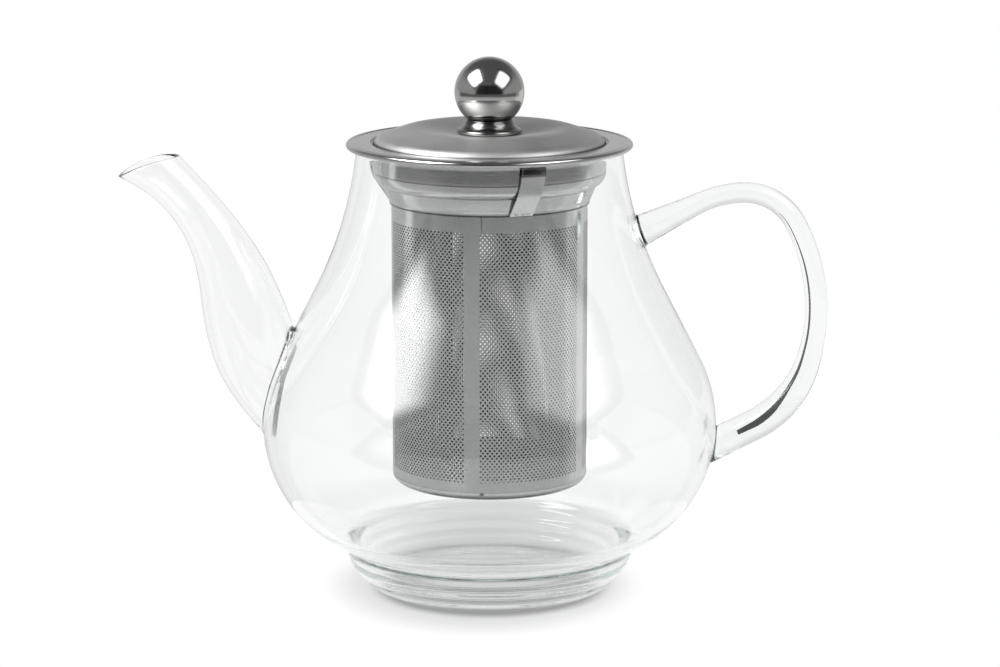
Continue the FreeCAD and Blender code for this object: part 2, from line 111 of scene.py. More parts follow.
def make_piece(name, mesh, body, nodes, slot, *materials, sharp=SMOOTH_ANGLE):
    """An object for a finished mesh, riding on its body and standing for CAD nodes."""
    piece = bpy.data.objects.new(name, mesh)
    bpy.context.scene.collection.objects.link(piece)
    numbers = [0] * len(mesh.polygons)
    mesh.polygons.foreach_get("material_index", numbers)
    mesh.materials.clear()
    for material in materials:
        mesh.materials.append(material)
    mesh.polygons.foreach_set("material_index", numbers)
    mesh.polygons.foreach_set("use_smooth", [True] * len(mesh.polygons))
    if sharp:
        mesh.set_sharp_from_angle(angle=sharp)
    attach(piece, body)
    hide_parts(*nodes)


def face_out(mesh):
    work = bmesh.new()
    work.from_mesh(mesh)
    bmesh.ops.recalc_face_normals(work, faces=work.faces)
    work.to_mesh(mesh)
    work.free()
    return mesh


def round_turns(count):
    """Evenly spaced angles of a full turn."""
    return math.tau * np.arange(count) / count


def strip(low, high):
    """Faces between two rows of points, without those that shrink to a line."""
    faces = [list(dict.fromkeys(face)) for face in zip(low, low[1:], high[1:], high)]
    return [face for face in faces if len(face) > 2]


def ring_faces(rings):
    """Faces between closed rings of points, each ring with the next."""
    faces = []
    for low, high in zip(rings, rings[1:]):
        faces += strip(low + low[:1], high + high[:1])
    return faces


def turned_grid(outline, segments, closed):
    """Vertices and faces of an outline turned about Z. Ends on the axis become single points."""
    turns = round_turns(segments)
    verts, rings = [], []
    for radius, height in outline:
        if radius < ON_AXIS:
            rings.append([len(verts)] * segments)
            verts.append((0, 0, height))
            continue
        rings.append(list(range(len(verts), len(verts) + segments)))
        verts.extend(zip(radius * np.cos(turns), radius * np.sin(turns), [height] * segments))
    return verts, ring_faces(rings + rings[:1] if closed else rings)


def turned(name, corners, segments=160, step=0.35, closed=True):
    outline = trace(list(corners) + ([corners[0]] if closed else []), step)
    if closed:
        outline = outline[:-1]
    return face_out(make_mesh(name, *turned_grid(outline, segments, closed)))


# Materials

def new_material(name):
    material = bpy.data.materials.new(name)
    material.use_nodes = True
    tree = material.node_tree
    tree.nodes.clear()
    return material, tree


class Wire:
    """What one socket of a node tree gives. Plain arithmetic on it makes further nodes."""

    def __init__(self, tree, socket):
        self.tree = tree
        self.socket = socket

    def __add__(self, other):
        return self.maths("ADD", self, other)

    def __sub__(self, other):
        return self.maths("SUBTRACT", self, other)

    def __rsub__(self, other):
        return self.maths("SUBTRACT", other, self)

    def __mul__(self, other):
        return self.maths("MULTIPLY", self, other)

    def __truediv__(self, other):
        return self.maths("DIVIDE", self, other)

    def __abs__(self):
        return self.maths("ABSOLUTE", self)

    __radd__ = __add__
    __rmul__ = __mul__

    def maths(self, operation, *values):
        return wire(self.tree, "ShaderNodeMath", dict(enumerate(values)), operation=operation)

    def most(self, other):
        return self.maths("MAXIMUM", self, other)

    def above(self, limit):
        return self.maths("GREATER_THAN", self, limit)

    def below(self, limit):
        return self.maths("LESS_THAN", self, limit)

    def ramp(self, limits, to_low, to_high):
        """Smooth step from one value to another between two limits."""
        inputs = {0: self, 1: limits[0], 2: limits[1], 3: to_low, 4: to_high}
        return wire(self.tree, "ShaderNodeMapRange", inputs, interpolation_type="SMOOTHSTEP")

    def vector_maths(self, operation, *others, output=0):
        inputs = dict(enumerate((self, *others)))
        return wire(self.tree, "ShaderNodeVectorMath", inputs, output, operation=operation)

    def length(self):
        return self.vector_maths("LENGTH", output="Value")

    def parts(self):
        """X, Y and Z of a vector."""
        return [Wire(self.tree, out) for out in add(self.tree, "ShaderNodeSeparateXYZ", {0: self}).outputs]


def add(tree, kind, inputs=None, **settings):
    """A node with its settings, and its inputs set to values or linked to wires."""
    node = tree.nodes.new(kind)
    for key, value in settings.items():
        setattr(node, key, value)
    for key, value in (inputs or {}).items():
        if isinstance(value, Wire):
            tree.links.new(value.socket, node.inputs[key])
        else:
            node.inputs[key].default_value = value
    return node


def wire(tree, kind, inputs=None, output=0, **settings):
    """One output of a new node."""
    return Wire(tree, add(tree, kind, inputs, **settings).outputs[output])


def place_in(tree):
    return wire(tree, "ShaderNodeTexCoord", output="Object")


def light_path(tree, name):
    return wire(tree, "ShaderNodeLightPath", output=name)


def noise(place, scale, detail):
    inputs = {"Vector": place, "Scale": scale, "Detail": detail}
    return wire(place.tree, "ShaderNodeTexNoise", inputs, "Fac")


def colour_mix(share, first, second):
    inputs = {"Factor": share, "A": first, "B": second}
    return wire(share.tree, "ShaderNodeMix", inputs, "Result", data_type="RGBA")


def glow(tree, strength):
    return wire(tree, "ShaderNodeEmission", {"Color": (1, 1, 1, 1), "Strength": strength})


def shader_mix(share, first, second):
    return wire(share.tree, "ShaderNodeMixShader", {0: share, 1: first, 2: second})


# Turned grain: lines to a metre across it, stretch along it, and its share beside the clouds
GRAIN_ACROSS = 2600.0
GRAIN_ALONG = 7.0
GRAIN_SHARE = 0.55
CLOUD_SIZE = 70.0
CLOUD_TINT = 0.93
SWELL_SIZE = 28.0
# Share of a steel's colour left under full darkening, by painted shade or the tube's seam line
SHADE_TINT = 0.22


def steel(name, colour, roughness, spread, grain, wave, shade=None):
    """Steel with a fine turned grain in its roughness, a slight wave, and colour darkened by painted shade or
    a seam line.
    """
    material, tree = new_material(name)
    place = place_in(tree)
    x, y, height = place.parts()
    radius = place.maths("SQRT", x * x + y * y)
    angle = place.maths("ARCTAN2", y, x)
    along = wire(tree, "ShaderNodeCombineXYZ", {
        0: radius * GRAIN_ACROSS, 1: angle * GRAIN_ALONG, 2: height * GRAIN_ACROSS,
    })
    lines = noise(along, 1.0, 3.0)
    clouds = noise(place, CLOUD_SIZE, 4.0)
    mixed = lines * GRAIN_SHARE + clouds * (1 - GRAIN_SHARE)
    cloudy = [part * CLOUD_TINT for part in colour]
    tint = colour_mix(clouds.ramp((0.3, 0.7), 0.0, 1.0), (*cloudy, 1), (*colour, 1))
    if shade:
        dark = [part * SHADE_TINT for part in colour]
        tint = colour_mix(shade(radius, angle, height), tint, (*dark, 1))
    bumps = lines * grain + noise(place, SWELL_SIZE, 1.0) * wave
    shader = wire(tree, "ShaderNodeBsdfPrincipled", {
        "Base Color": tint,
        "Metallic": 1.0,
        "Roughness": mixed.ramp((0.25, 0.75), roughness - spread, roughness + spread),
        "Normal": wire(tree, "ShaderNodeBump", {"Height": bumps, "Strength": 1.0, "Distance": 0.001}),
    })
    add(tree, "ShaderNodeOutputMaterial", {"Surface": shader})
    return material


def clear_glass():
    """Clear glass that lets lamps through, with faint streaks and a little absorption at its edges."""
    material, tree = new_material("clear_glass")
    streaks = wire(tree, "ShaderNodeMapping", {"Vector": place_in(tree), "Scale": (60.0, 60.0, 22.0)})
    drawn = noise(streaks, 1.0, 2.0)
    shader = wire(tree, "ShaderNodeBsdfPrincipled", {
        "Base Color": (0.998, 1.0, 0.999, 1),
        "Roughness": 0.0,
        "IOR": 1.47,
        "Transmission Weight": 1.0,
        "Normal": wire(tree, "ShaderNodeBump", {"Height": drawn, "Strength": 1.0, "Distance": 0.00003}),
    })
    passing = wire(tree, "ShaderNodeBsdfTransparent", {"Color": (0.97, 0.975, 0.972, 1)})
    mixed = shader_mix(light_path(tree, "Is Shadow Ray"), shader, passing)
    absorb = wire(tree, "ShaderNodeVolumeAbsorption", {"Color": (0.815, 0.86, 0.845, 1), "Density": 36.0})
    add(tree, "ShaderNodeOutputMaterial", {"Surface": mixed, "Volume": absorb})
    return material


# Where steel is darkened, in metres, by painted shade or the tube's seam line: each pair is where a darkening
# starts and where it ends
# Painted shade on the collar: its lower edge, the creases of its shoulder, and its mouth under the lid's lip
COLLAR_EDGE_SHADE = (0.1142, 0.1145)
SHADED_CREASES = (0.1192, 0.1232)
CREASE_SHADE_HALF = (0.0001, 0.0003)
COLLAR_MOUTH_HEIGHT = (0.1305, 0.1307)
COLLAR_MOUTH_RADIUS = (0.0339, 0.0343)
LIP_FOOT = (0.1303, 0.1306)
LIP_TOP = (0.1311, 0.1316)
SEAM_FOOT = (0.1092, 0.1102)
# Painted shade on the cap: its rounded lower edge, and a dimple that the mesh does not have
CAP_EDGE = (0.0328, 0.0350)
CAP_RADIUS = 0.028
DIMPLE_HEIGHT = 0.0342
DIMPLE_EDGE = (0.0004, 0.0008)
# Heights of painted shade: a clip's tip, which curls in under the flange, the ball's foot and the ring's edge
# under it
CLIP_TIP = (0.1256, 0.1262)
BALL_FOOT = (0.1384, 0.1396)
RING_TOP = (0.1358, 0.1370)
# Where the tube's seam ends above the front strip, and half its width, in radians round the axis
SEAM_LINE = math.radians(-94.4)
SEAM_HALF = (0.004, 0.010)


def collar_edges(radius, angle, height):
    """Painted shade at the collar's lower edge, along the pressed creases of its shoulder and in its mouth.
    """
    collar_shade = height.ramp(COLLAR_EDGE_SHADE, 1.0, 0.0)
    for line in SHADED_CREASES:
        collar_shade = collar_shade.most(abs(height - line).ramp(CREASE_SHADE_HALF, 0.6, 0.0))
    return collar_shade.most(height.ramp(COLLAR_MOUTH_HEIGHT, 0.0, 1.0) * radius.ramp(COLLAR_MOUTH_RADIUS, 1.0, 0.0))


def by_height(limits, to_low, to_high):
    """Painted shade that changes with height alone, between two limits."""
    return lambda radius, angle, height: height.ramp(limits, to_low, to_high)


def lid_lip(radius, angle, height):
    """Painted shade in the gap between the lid's lip and the collar's mouth."""
    return height.ramp(LIP_FOOT, 0.0, 1.0) * height.ramp(LIP_TOP, 0.9, 0.0)


def seam_line(radius, angle, height):
    """Shade of the seam on the plain band at the tube's top."""
    return abs(angle - SEAM_LINE).ramp(SEAM_HALF, 0.5, 0.0) * height.ramp(SEAM_FOOT, 0.0, 1.0)


def cap_painted_shade(radius, angle, height):
    """Painted shade on the cap's rounded lower edge, and of a small punched dimple at its front that the mesh
    does not have.
    """
    aside = (angle - SEAM_LINE) * CAP_RADIUS
    lift = height - DIMPLE_HEIGHT
    dimple = height.maths("SQRT", aside * aside + lift * lift).ramp(DIMPLE_EDGE, 1.0, 0.0)
    return dimple.most(height.ramp(CAP_EDGE, 0.80, 0.0))


GLASS = clear_glass()
# Steel: name, colour, roughness and its spread, depths of grain and wave in millimetres, painted shade or
# seam line
SATIN = steel("satin_steel", (0.62, 0.625, 0.62), 0.50, 0.07, 0.004, 0.03, lid_lip)
PRESSED = steel("pressed_steel", (0.60, 0.605, 0.60), 0.16, 0.05, 0.002, 0.06, collar_edges)
SPRING = steel("spring_steel", (0.60, 0.605, 0.60), 0.16, 0.05, 0.002, 0.06, by_height(CLIP_TIP, 0.0, 0.85))
SHEET = steel("sheet_steel", (0.63, 0.64, 0.635), 0.19, 0.05, 0.001, 0.09, seam_line)
CAP = steel("cap_steel", (0.60, 0.61, 0.605), 0.24, 0.05, 0.001, 0.05, cap_painted_shade)
# The tube's inside is the same steel darkened: painted shade inside the tube
INSIDE = steel("dull_steel_in_painted_shade", (0.17, 0.175, 0.172), 0.45, 0.05, 0.001, 0.02)
MIRROR = steel("polished_steel", (0.62, 0.62, 0.61), 0.14, 0.03, 0.0004, 0.03, by_height(BALL_FOOT, 0.9, 0.0))
# The ring's steel is darker than the rest: painted shade for the dark reflections that the ring shows
RING = steel("turned_steel", (0.30, 0.30, 0.295), 0.20, 0.04, 0.001, 0.02, by_height(RING_TOP, 0.0, 0.8))


# Glass: outlines

BELLY = 65.48
BELLY_Z = 49.0
LOWER_ROUND = 38.0
UPPER_ROUND = 40.2
SLOPE = math.radians(27.2)
SHOULDER = 23.8
NECK_ROUND = 115.0
RIM = 130.5
WALL = 2.0
CREASE = 13.9
FOOT = 29.6
FOOT_ROUND = 16.1
FOOT_WALL = 2.5
FLOOR = 2.4
RIM_ROUND = 0.9
# Shallow rings inside the foot's wall, between two heights
RING_DEPTH = 0.22
RING_PITCH = 4.4
RINGS_FROM = 3.2
RINGS_TO = 14.6
# Distances of points along the glass outlines, before and after they are evened out
OUTLINE_STEP = 0.4
SPACING = 1.5
FOOT_SPACING = 0.5

LOWER_X = BELLY - LOWER_ROUND
UPPER_X = BELLY - UPPER_ROUND
LEAN = np.array([math.cos(SLOPE), math.sin(SLOPE)])
SHOULDER_FOOT = np.array([UPPER_X, BELLY_Z]) + UPPER_ROUND * LEAN
NECK_FOOT = SHOULDER_FOOT + SHOULDER * np.array([-LEAN[1], LEAN[0]])
NECK_CENTRE = NECK_FOOT + NECK_ROUND * LEAN


def neck_radius(height, offset):
    return NECK_CENTRE[0] - math.sqrt((NECK_ROUND + offset) ** 2 - (NECK_CENTRE[1] - height) ** 2)


def outer_outline():
    """From the middle of the underside to the middle of the rim."""
    crease = LOWER_X + math.sqrt(LOWER_ROUND**2 - (BELLY_Z - CREASE) ** 2)
    rim = neck_radius(RIM - RIM_ROUND, 0)
    points = trace([
        (0, 0.9),
        (20.5, 0.75),
        (25.0, 0.0),
        (FOOT, 0),
        (crease, CREASE, FOOT_ROUND, "left"),
        (BELLY, BELLY_Z, LOWER_ROUND, "left"),
        (*SHOULDER_FOOT, UPPER_ROUND, "left"),
        tuple(NECK_FOOT),
        (rim, RIM - RIM_ROUND, NECK_ROUND, "right"),
        (rim - RIM_ROUND, RIM, RIM_ROUND, "left"),
        (rim - WALL / 2, RIM),
    ], OUTLINE_STEP)
    points = soften(points, (crease, CREASE), 4.0, 12)
    return soften(points, (23.0, 0.3), 4.5, 10)


def inner_outline():
    """From the middle of the floor to the middle of the rim."""
    lower = LOWER_ROUND - WALL
    lip_z = CREASE + WALL / 2
    lip = LOWER_X + math.sqrt(lower**2 - (BELLY_Z - lip_z) ** 2)
    rim = neck_radius(RIM - RIM_ROUND, WALL)
    inwards = WALL * LEAN
    points = trace([
        (0, FLOOR + 0.6),
        (18.0, FLOOR + 0.45),
        (FOOT - FOOT_WALL, FLOOR),
        (lip, lip_z, FOOT_ROUND - FOOT_WALL, "left"),
        (BELLY - WALL, BELLY_Z, lower, "left"),
        (*(SHOULDER_FOOT - inwards), UPPER_ROUND - WALL, "left"),
        tuple(NECK_FOOT - inwards),
        (rim, RIM - RIM_ROUND, NECK_ROUND + WALL, "right"),
        (rim + RIM_ROUND, RIM, RIM_ROUND, "right"),
        (neck_radius(RIM - RIM_ROUND, 0) - WALL / 2, RIM),
    ], OUTLINE_STEP)
    return soften(points, (lip, lip_z), 14.0, 240)


def ringed_outline():
    """The inner outline, with shallow rings in the foot's wall and finer points there."""
    whole = inner_outline()
    foot = int(np.argmax(whole[:, 1] > RINGS_TO)) + 1
    points = respace(whole[:foot], FOOT_SPACING)
    along = np.gradient(points, axis=0)
    out = np.stack([along[:, 1], -along[:, 0]], 1) / np.linalg.norm(along, axis=1)[:, None]
    lengths = lengths_along(points)
    share = np.clip((points[:, 1] - RINGS_FROM) / (RINGS_TO - RINGS_FROM), 0, 1)
    fade = np.sin(math.pi * share) ** 0.5
    depth = RING_DEPTH * fade * np.sin(math.tau * lengths / RING_PITCH)
    return np.concatenate([points + out * depth[:, None], respace(whole[foot - 1:], SPACING)[1:]])


def belly_distance(radius, height):
    """Signed distance to the pot's outer outline between the crease and the rim."""
    point = np.stack([radius, height], -1)
    low = np.linalg.norm(point - np.array([LOWER_X, BELLY_Z]), axis=-1) - LOWER_ROUND
    from_upper = point - np.array([UPPER_X, BELLY_Z])
    high = np.linalg.norm(from_upper, axis=-1) - UPPER_ROUND
    from_shoulder = point - SHOULDER_FOOT
    slant = from_shoulder @ LEAN
    along = from_shoulder @ np.array([-LEAN[1], LEAN[0]])
    neck = NECK_ROUND - np.linalg.norm(point - NECK_CENTRE, axis=-1)
    upper = np.where(along < SHOULDER, slant, neck)
    turn = np.arctan2(from_upper[..., 1], from_upper[..., 0])
    upper = np.where(turn < SLOPE, high, upper)
    return np.where(height < BELLY_Z, low, upper)


# Glass: bent tubes

def smooth_curve(xs, ys):
    """Natural cubic spline through points, as a function of x."""
    xs, ys = np.array(xs, float), np.array(ys, float)
    gaps = np.diff(xs)
    count = len(xs)
    matrix = np.eye(count)
    right = np.zeros(count)
    for k in range(1, count - 1):
        matrix[k, k - 1: k + 2] = gaps[k - 1], 2 * (gaps[k - 1] + gaps[k]), gaps[k]
        right[k] = 6 * ((ys[k + 1] - ys[k]) / gaps[k] - (ys[k] - ys[k - 1]) / gaps[k - 1])
    bend = np.linalg.solve(matrix, right)

    def value(x):
        k = np.clip(np.searchsorted(xs, x) - 1, 0, count - 2)
        gap = gaps[k]
        before, after = (xs[k + 1] - x) / gap, (x - xs[k]) / gap
        curve = (before**3 - before) * bend[k] + (after**3 - after) * bend[k + 1]
        return before * ys[k] + after * ys[k + 1] + curve * gap**2 / 6

    return value


class Bent:
    """A round tube or rod along runs and tangent arcs in the XZ plane."""

    def __init__(self, x, z, heading, stages, radius):
        step = 0.5
        points, headings = [(x, z)], [math.radians(heading)]
        for length, turn in stages:
            count = math.ceil(length / step)
            for _ in range(count):
                half = headings[-1] + math.radians(turn) / count / 2
                x, z = points[-1]
                points.append((x + length / count * math.cos(half), z + length / count * math.sin(half)))
                headings.append(headings[-1] + math.radians(turn) / count)
        self.points = np.array(points)
        self.headings = np.array(headings)
        self.marks = lengths_along(self.points)
        self.length = self.marks[-1]
        self.radius = radius

    def at(self, marks):
        x = np.interp(marks, self.marks, self.points[:, 0])
        z = np.interp(marks, self.marks, self.points[:, 1])
        return x, z, np.interp(marks, self.marks, self.headings)

    def skin(self, marks, turns, offset=0.0):
        """Points of the surface at marks along it and turns round it."""
        marks, turns = np.broadcast_arrays(marks, turns)
        x, z, heading = self.at(marks)
        radius = self.radius(marks / self.length) + offset
        lift = radius * np.cos(turns)
        return np.stack([x - lift * np.sin(heading), radius * np.sin(turns), z + lift * np.cos(heading)], -1)

    def distance(self, place, offset=0.0):
        """Signed distance to the surface, near it."""
        flat = place[:, [0, 2]]
        gaps = (self.points**2).sum(1) - 2 * flat @ self.points.T
        best = gaps.argmin(1)
        inside = np.clip(best, 1, len(self.points) - 2)
        tangent = self.points[inside + 1] - self.points[inside - 1]
        tangent /= np.linalg.norm(tangent, axis=1)[:, None]
        along = ((flat - self.points[inside]) * tangent).sum(1)
        mark = np.clip(self.marks[inside] + along, 0, self.length)
        x, z, _ = self.at(mark)
        gap = np.sqrt((flat[:, 0] - x) ** 2 + (flat[:, 1] - z) ** 2 + place[:, 1] ** 2)
        return gap - self.radius(mark / self.length) - offset


def arc_stage(radius, turn):
    return radius * math.radians(abs(turn)), turn


SPOUT_WALL = 1.3
SPOUT = Bent(
    -37.9, 49.1, 166.5,
    [(8.0, 0), arc_stage(31.0, -61.2), (15.5, 0), arc_stage(69.9, 35.0), (14.5, 0)],
    smooth_curve(np.linspace(0, 1, 9), np.array([33, 28.6, 24.4, 24.6, 21.8, 16.8, 13.8, 14.9, 20.4]) / 2),
)
MOUTH = np.array([-97.6, 0, 124.25])
MOUTH_SLANT = math.radians(18.1)
MOUTH_NORMAL = np.array([-math.sin(MOUTH_SLANT), 0, math.cos(MOUTH_SLANT)])
LIP = 0.4
# How far the sides of the mouth stand above its tip and heel
MOUTH_SADDLE = 1.1
LIP_TURNS = np.radians([22.5, 45, 67.5, 90])
# Shares of the spout's length: where its rings start to lean to the mouth, and where the mouth is looked for
LEAN_FROM = 0.62
MOUTH_FROM = 0.7

# Widths over which two glass forms melt into each other, outside and inside the pot
WELD_REACH = 0.9
LINING_REACH = 2.2
# Welds: width that is smoothed, lengths of edges that are cut, passes, step for slopes and least slope
WELD_SPAN = 3.0
WELD_EDGES = (1.4, 0.8)
WELD_PASSES = 14
PROBE = 0.02
LEAST_SLOPE = 0.3
# Points closer than this are one, in a united mesh and where its skin meets its lining
SAME_POINT = 0.05
SAME_RIM = 0.02

# Points round the glass forms, rings along the rod, and how much thinner it is drawn than its radii say
BODY_SEGMENTS = 176
SPOUT_SEGMENTS = 72
ROD_SEGMENTS = 40
ROD_RINGS = 118
ROD_TRIM = 0.05

ROD_SHARES = [0, 0.2, 0.62, 0.86, 1.0]
ROD_RADII = [4.6, 2.95, 3.25, 4.5, 4.5]


def rod_radius(share):
    k = np.clip(np.searchsorted(ROD_SHARES, share) - 1, 0, len(ROD_SHARES) - 2)
    starts, radii = np.array(ROD_SHARES), np.array(ROD_RADII)
    part = np.clip((share - starts[k]) / (starts[k + 1] - starts[k]), 0, 1)
    return radii[k] + (radii[k + 1] - radii[k]) * part * part * (3 - 2 * part)


HANDLE = Bent(
    38.6, 103.0, 25.7,
    [
        (23.6, 0), arc_stage(32.0, -22.8), arc_stage(16.7, -64.7), arc_stage(54.2, -44.9),
        arc_stage(30.3, -46.6), (16.1, 0),
    ],
    rod_radius,
)


def spout_rings(offset):
    """Rings from the spout's root to the middle of its lip, for its outside or its bore."""
    turns = round_turns(SPOUT_SEGMENTS)
    marks = np.linspace(SPOUT.length * MOUTH_FROM, SPOUT.length, 400)
    depth = (SPOUT.skin(marks[:, None], turns[None], offset) - MOUTH) @ MOUTH_NORMAL + LIP
    depth -= MOUTH_SADDLE * np.sin(turns) ** 2
    ends = np.array([np.interp(0, depth[:, k], marks) for k in range(SPOUT_SEGMENTS)])
    shared = SPOUT.length * LEAN_FROM
    rings = [SPOUT.skin(mark, turns, offset) for mark in np.arange(0, shared, 1.0)]
    for share in np.linspace(0, 1, 36):
        rings.append(SPOUT.skin(shared + (ends - shared) * share, turns, offset))
    return np.array(rings)


def lip_rings(middle, half):
    """Rings of one side of the spout's lip, up to its crest."""
    return [middle + half * math.cos(turn) + MOUTH_NORMAL * LIP * math.sin(turn) for turn in LIP_TURNS]


def capped_mesh(name, verts, faces, discs):
    """Closed mesh with its end discs in the second material slot."""
    mesh = make_mesh(name, verts, faces + discs)
    mesh.materials.append(None)
    mesh.materials.append(None)
    for face in list(mesh.polygons)[-len(discs):]:
        face.material_index = 1
    return face_out(mesh)


def tube_mesh(name, rings):
    """Closed mesh of rings of points."""
    count, segments = rings.shape[:2]
    numbers = np.arange(count * segments).reshape(count, segments).tolist()
    return capped_mesh(name, rings.reshape(-1, 3), ring_faces(numbers), [numbers[0][::-1], numbers[-1]])


def filled_turning(name, outline, segments):
    """Closed mesh of an outline that starts on the axis, turned about Z."""
    verts, faces = turned_grid(outline, segments, False)
    return capped_mesh(name, verts, faces, [list(range(len(verts) - segments, len(verts)))])


def united(first, *others):
    """One mesh of several closed ones."""
    objects = []
    for mesh in (first, *others):
        thing = bpy.data.objects.new(mesh.name, mesh)
        bpy.context.scene.collection.objects.link(thing)
        objects.append(thing)
    for other in objects[1:]:
        join = objects[0].modifiers.new("join", "BOOLEAN")
        join.operation = "UNION"
        join.solver = "EXACT"
        join.object = other
    graph = bpy.context.evaluated_depsgraph_get()
    graph.update()
    result = bpy.data.meshes.new_from_object(objects[0].evaluated_get(graph))
    for thing in objects:
        bpy.data.objects.remove(thing)
    return result


def smooth_least(first, second, reach):
    near = np.clip(reach - np.abs(first - second), 0, None) / reach
    return np.minimum(first, second) - near * near * reach / 4


def weld(mesh, field, parts):
    """Rounds the joints of a united mesh by moving it on to a smooth field of its parts."""
    work = bmesh.new()
    work.from_mesh(mesh)
    discs = [face for face in work.faces if face.material_index == 1]
    bmesh.ops.delete(work, geom=discs, context="FACES_ONLY")
    bmesh.ops.remove_doubles(work, verts=work.verts, dist=SAME_POINT * MM)

    def joint_mask(width):
        work.verts.ensure_lookup_table()
        work.verts.index_update()
        place = np.array([v.co for v in work.verts]) / MM
        gaps = np.sort(np.abs(np.stack([part(place) for part in parts])), axis=0)
        return place, gaps[1] < width

    for limit in WELD_EDGES:
        _, near = joint_mask(WELD_SPAN + 1.5)
        edges = [
            edge for edge in work.edges
            if near[edge.verts[0].index] and near[edge.verts[1].index] and edge.calc_length() > limit * MM
        ]
        bmesh.ops.subdivide_edges(work, edges=edges, cuts=1, use_grid_fill=True)
        _, near = joint_mask(WELD_SPAN + 3)
        faces = [face for face in work.faces if any(near[v.index] for v in face.verts)]
        bmesh.ops.triangulate(work, faces=faces)
    place, near = joint_mask(WELD_SPAN)
    ends = np.array([[edge.verts[0].index, edge.verts[1].index] for edge in work.edges])
    moving = np.flatnonzero(near)
    degree = np.bincount(ends.ravel(), minlength=len(place))[:, None]
    for _ in range(WELD_PASSES):
        total = np.zeros_like(place)
        np.add.at(total, ends[:, 0], place[ends[:, 1]])
        np.add.at(total, ends[:, 1], place[ends[:, 0]])
        place[moving] += 0.5 * (total[moving] / degree[moving] - place[moving])
        for _ in range(2):
            here = place[moving]
            value = field(here)
            slope = np.stack([
                (field(here + shift) - field(here - shift)) / (2 * PROBE)
                for shift in np.eye(3) * PROBE
            ], 1)
            slope /= np.maximum((slope**2).sum(1), LEAST_SLOPE)[:, None]
            place[moving] = here - value[:, None] * slope
    for vert, spot in zip(work.verts, place * MM):
        vert.co = spot
    return work


def make_glass():
    """Body, spout and handle as one piece of glass, with rounded welds, rim and spout lip."""
    outer_spout = spout_rings(0.0)
    bore = spout_rings(-SPOUT_WALL)
    middle = (outer_spout[-1] + bore[-1]) / 2
    half = (outer_spout[-1] - bore[-1]) / 2
    outer_spout = np.concatenate([outer_spout, lip_rings(middle, half)])
    bore = np.concatenate([bore, lip_rings(middle, -half)])
    rod_turns = round_turns(ROD_SEGMENTS)
    rod_marks = np.linspace(0, HANDLE.length, ROD_RINGS)
    rod = np.array([HANDLE.skin(mark, rod_turns, -ROD_TRIM) for mark in rod_marks])

    outside = united(
        filled_turning("outside", respace(outer_outline(), SPACING), BODY_SEGMENTS),
        tube_mesh("spout_outside", outer_spout),
        tube_mesh("rod", rod),
    )
    inside = united(
        filled_turning("inside", ringed_outline(), BODY_SEGMENTS),
        tube_mesh("spout_bore", bore),
    )

    def belly(place, offset=0.0):
        return belly_distance(np.hypot(place[:, 0], place[:, 1]), place[:, 2]) + offset

    def outer_field(place):
        least = smooth_least(belly(place), SPOUT.distance(place), WELD_REACH)
        return smooth_least(least, HANDLE.distance(place), WELD_REACH)

    def inner_field(place):
        return smooth_least(belly(place, WALL), SPOUT.distance(place, -SPOUT_WALL), LINING_REACH)

    skin = weld(outside, outer_field, [belly, SPOUT.distance, HANDLE.distance])
    lining = weld(
        inside, inner_field,
        [lambda place: belly(place, WALL), lambda place: SPOUT.distance(place, -SPOUT_WALL)],
    )
    lining_mesh = bpy.data.meshes.new("lining")
    lining.to_mesh(lining_mesh)
    lining.free()
    skin.from_mesh(lining_mesh)
    bmesh.ops.remove_doubles(skin, verts=skin.verts, dist=SAME_RIM * MM)
    bmesh.ops.recalc_face_normals(skin, faces=skin.faces)
    for face in skin.faces:
        face.material_index = 0
    mesh = bpy.data.meshes.new("glass_pot")
    skin.to_mesh(mesh)
    skin.free()
    return mesh


make_piece(
    "glass_pot", make_glass(), "pot", ["glass_body", "glass_spout", "glass_handle"], "clear_glass", GLASS,
    sharp=None,
)


# Steel: infuser

TUBE = 28.1
TUBE_SHEET = 0.4
TUBE_FOOT = 34.7
TUBE_TOP = 115.2
COLLAR = 33.3
COLLAR_SHEET = 0.6
COLLAR_FOOT = 113.8
CONE_TOP = (30.6, 119.1)
SHOULDER_TOP = 123.1
FLANGE = 41.0
FLANGE_UNDER = 130.55
FLANGE_TOP = FLANGE_UNDER + COLLAR_SHEET
FLANGE_ROLL = 0.8


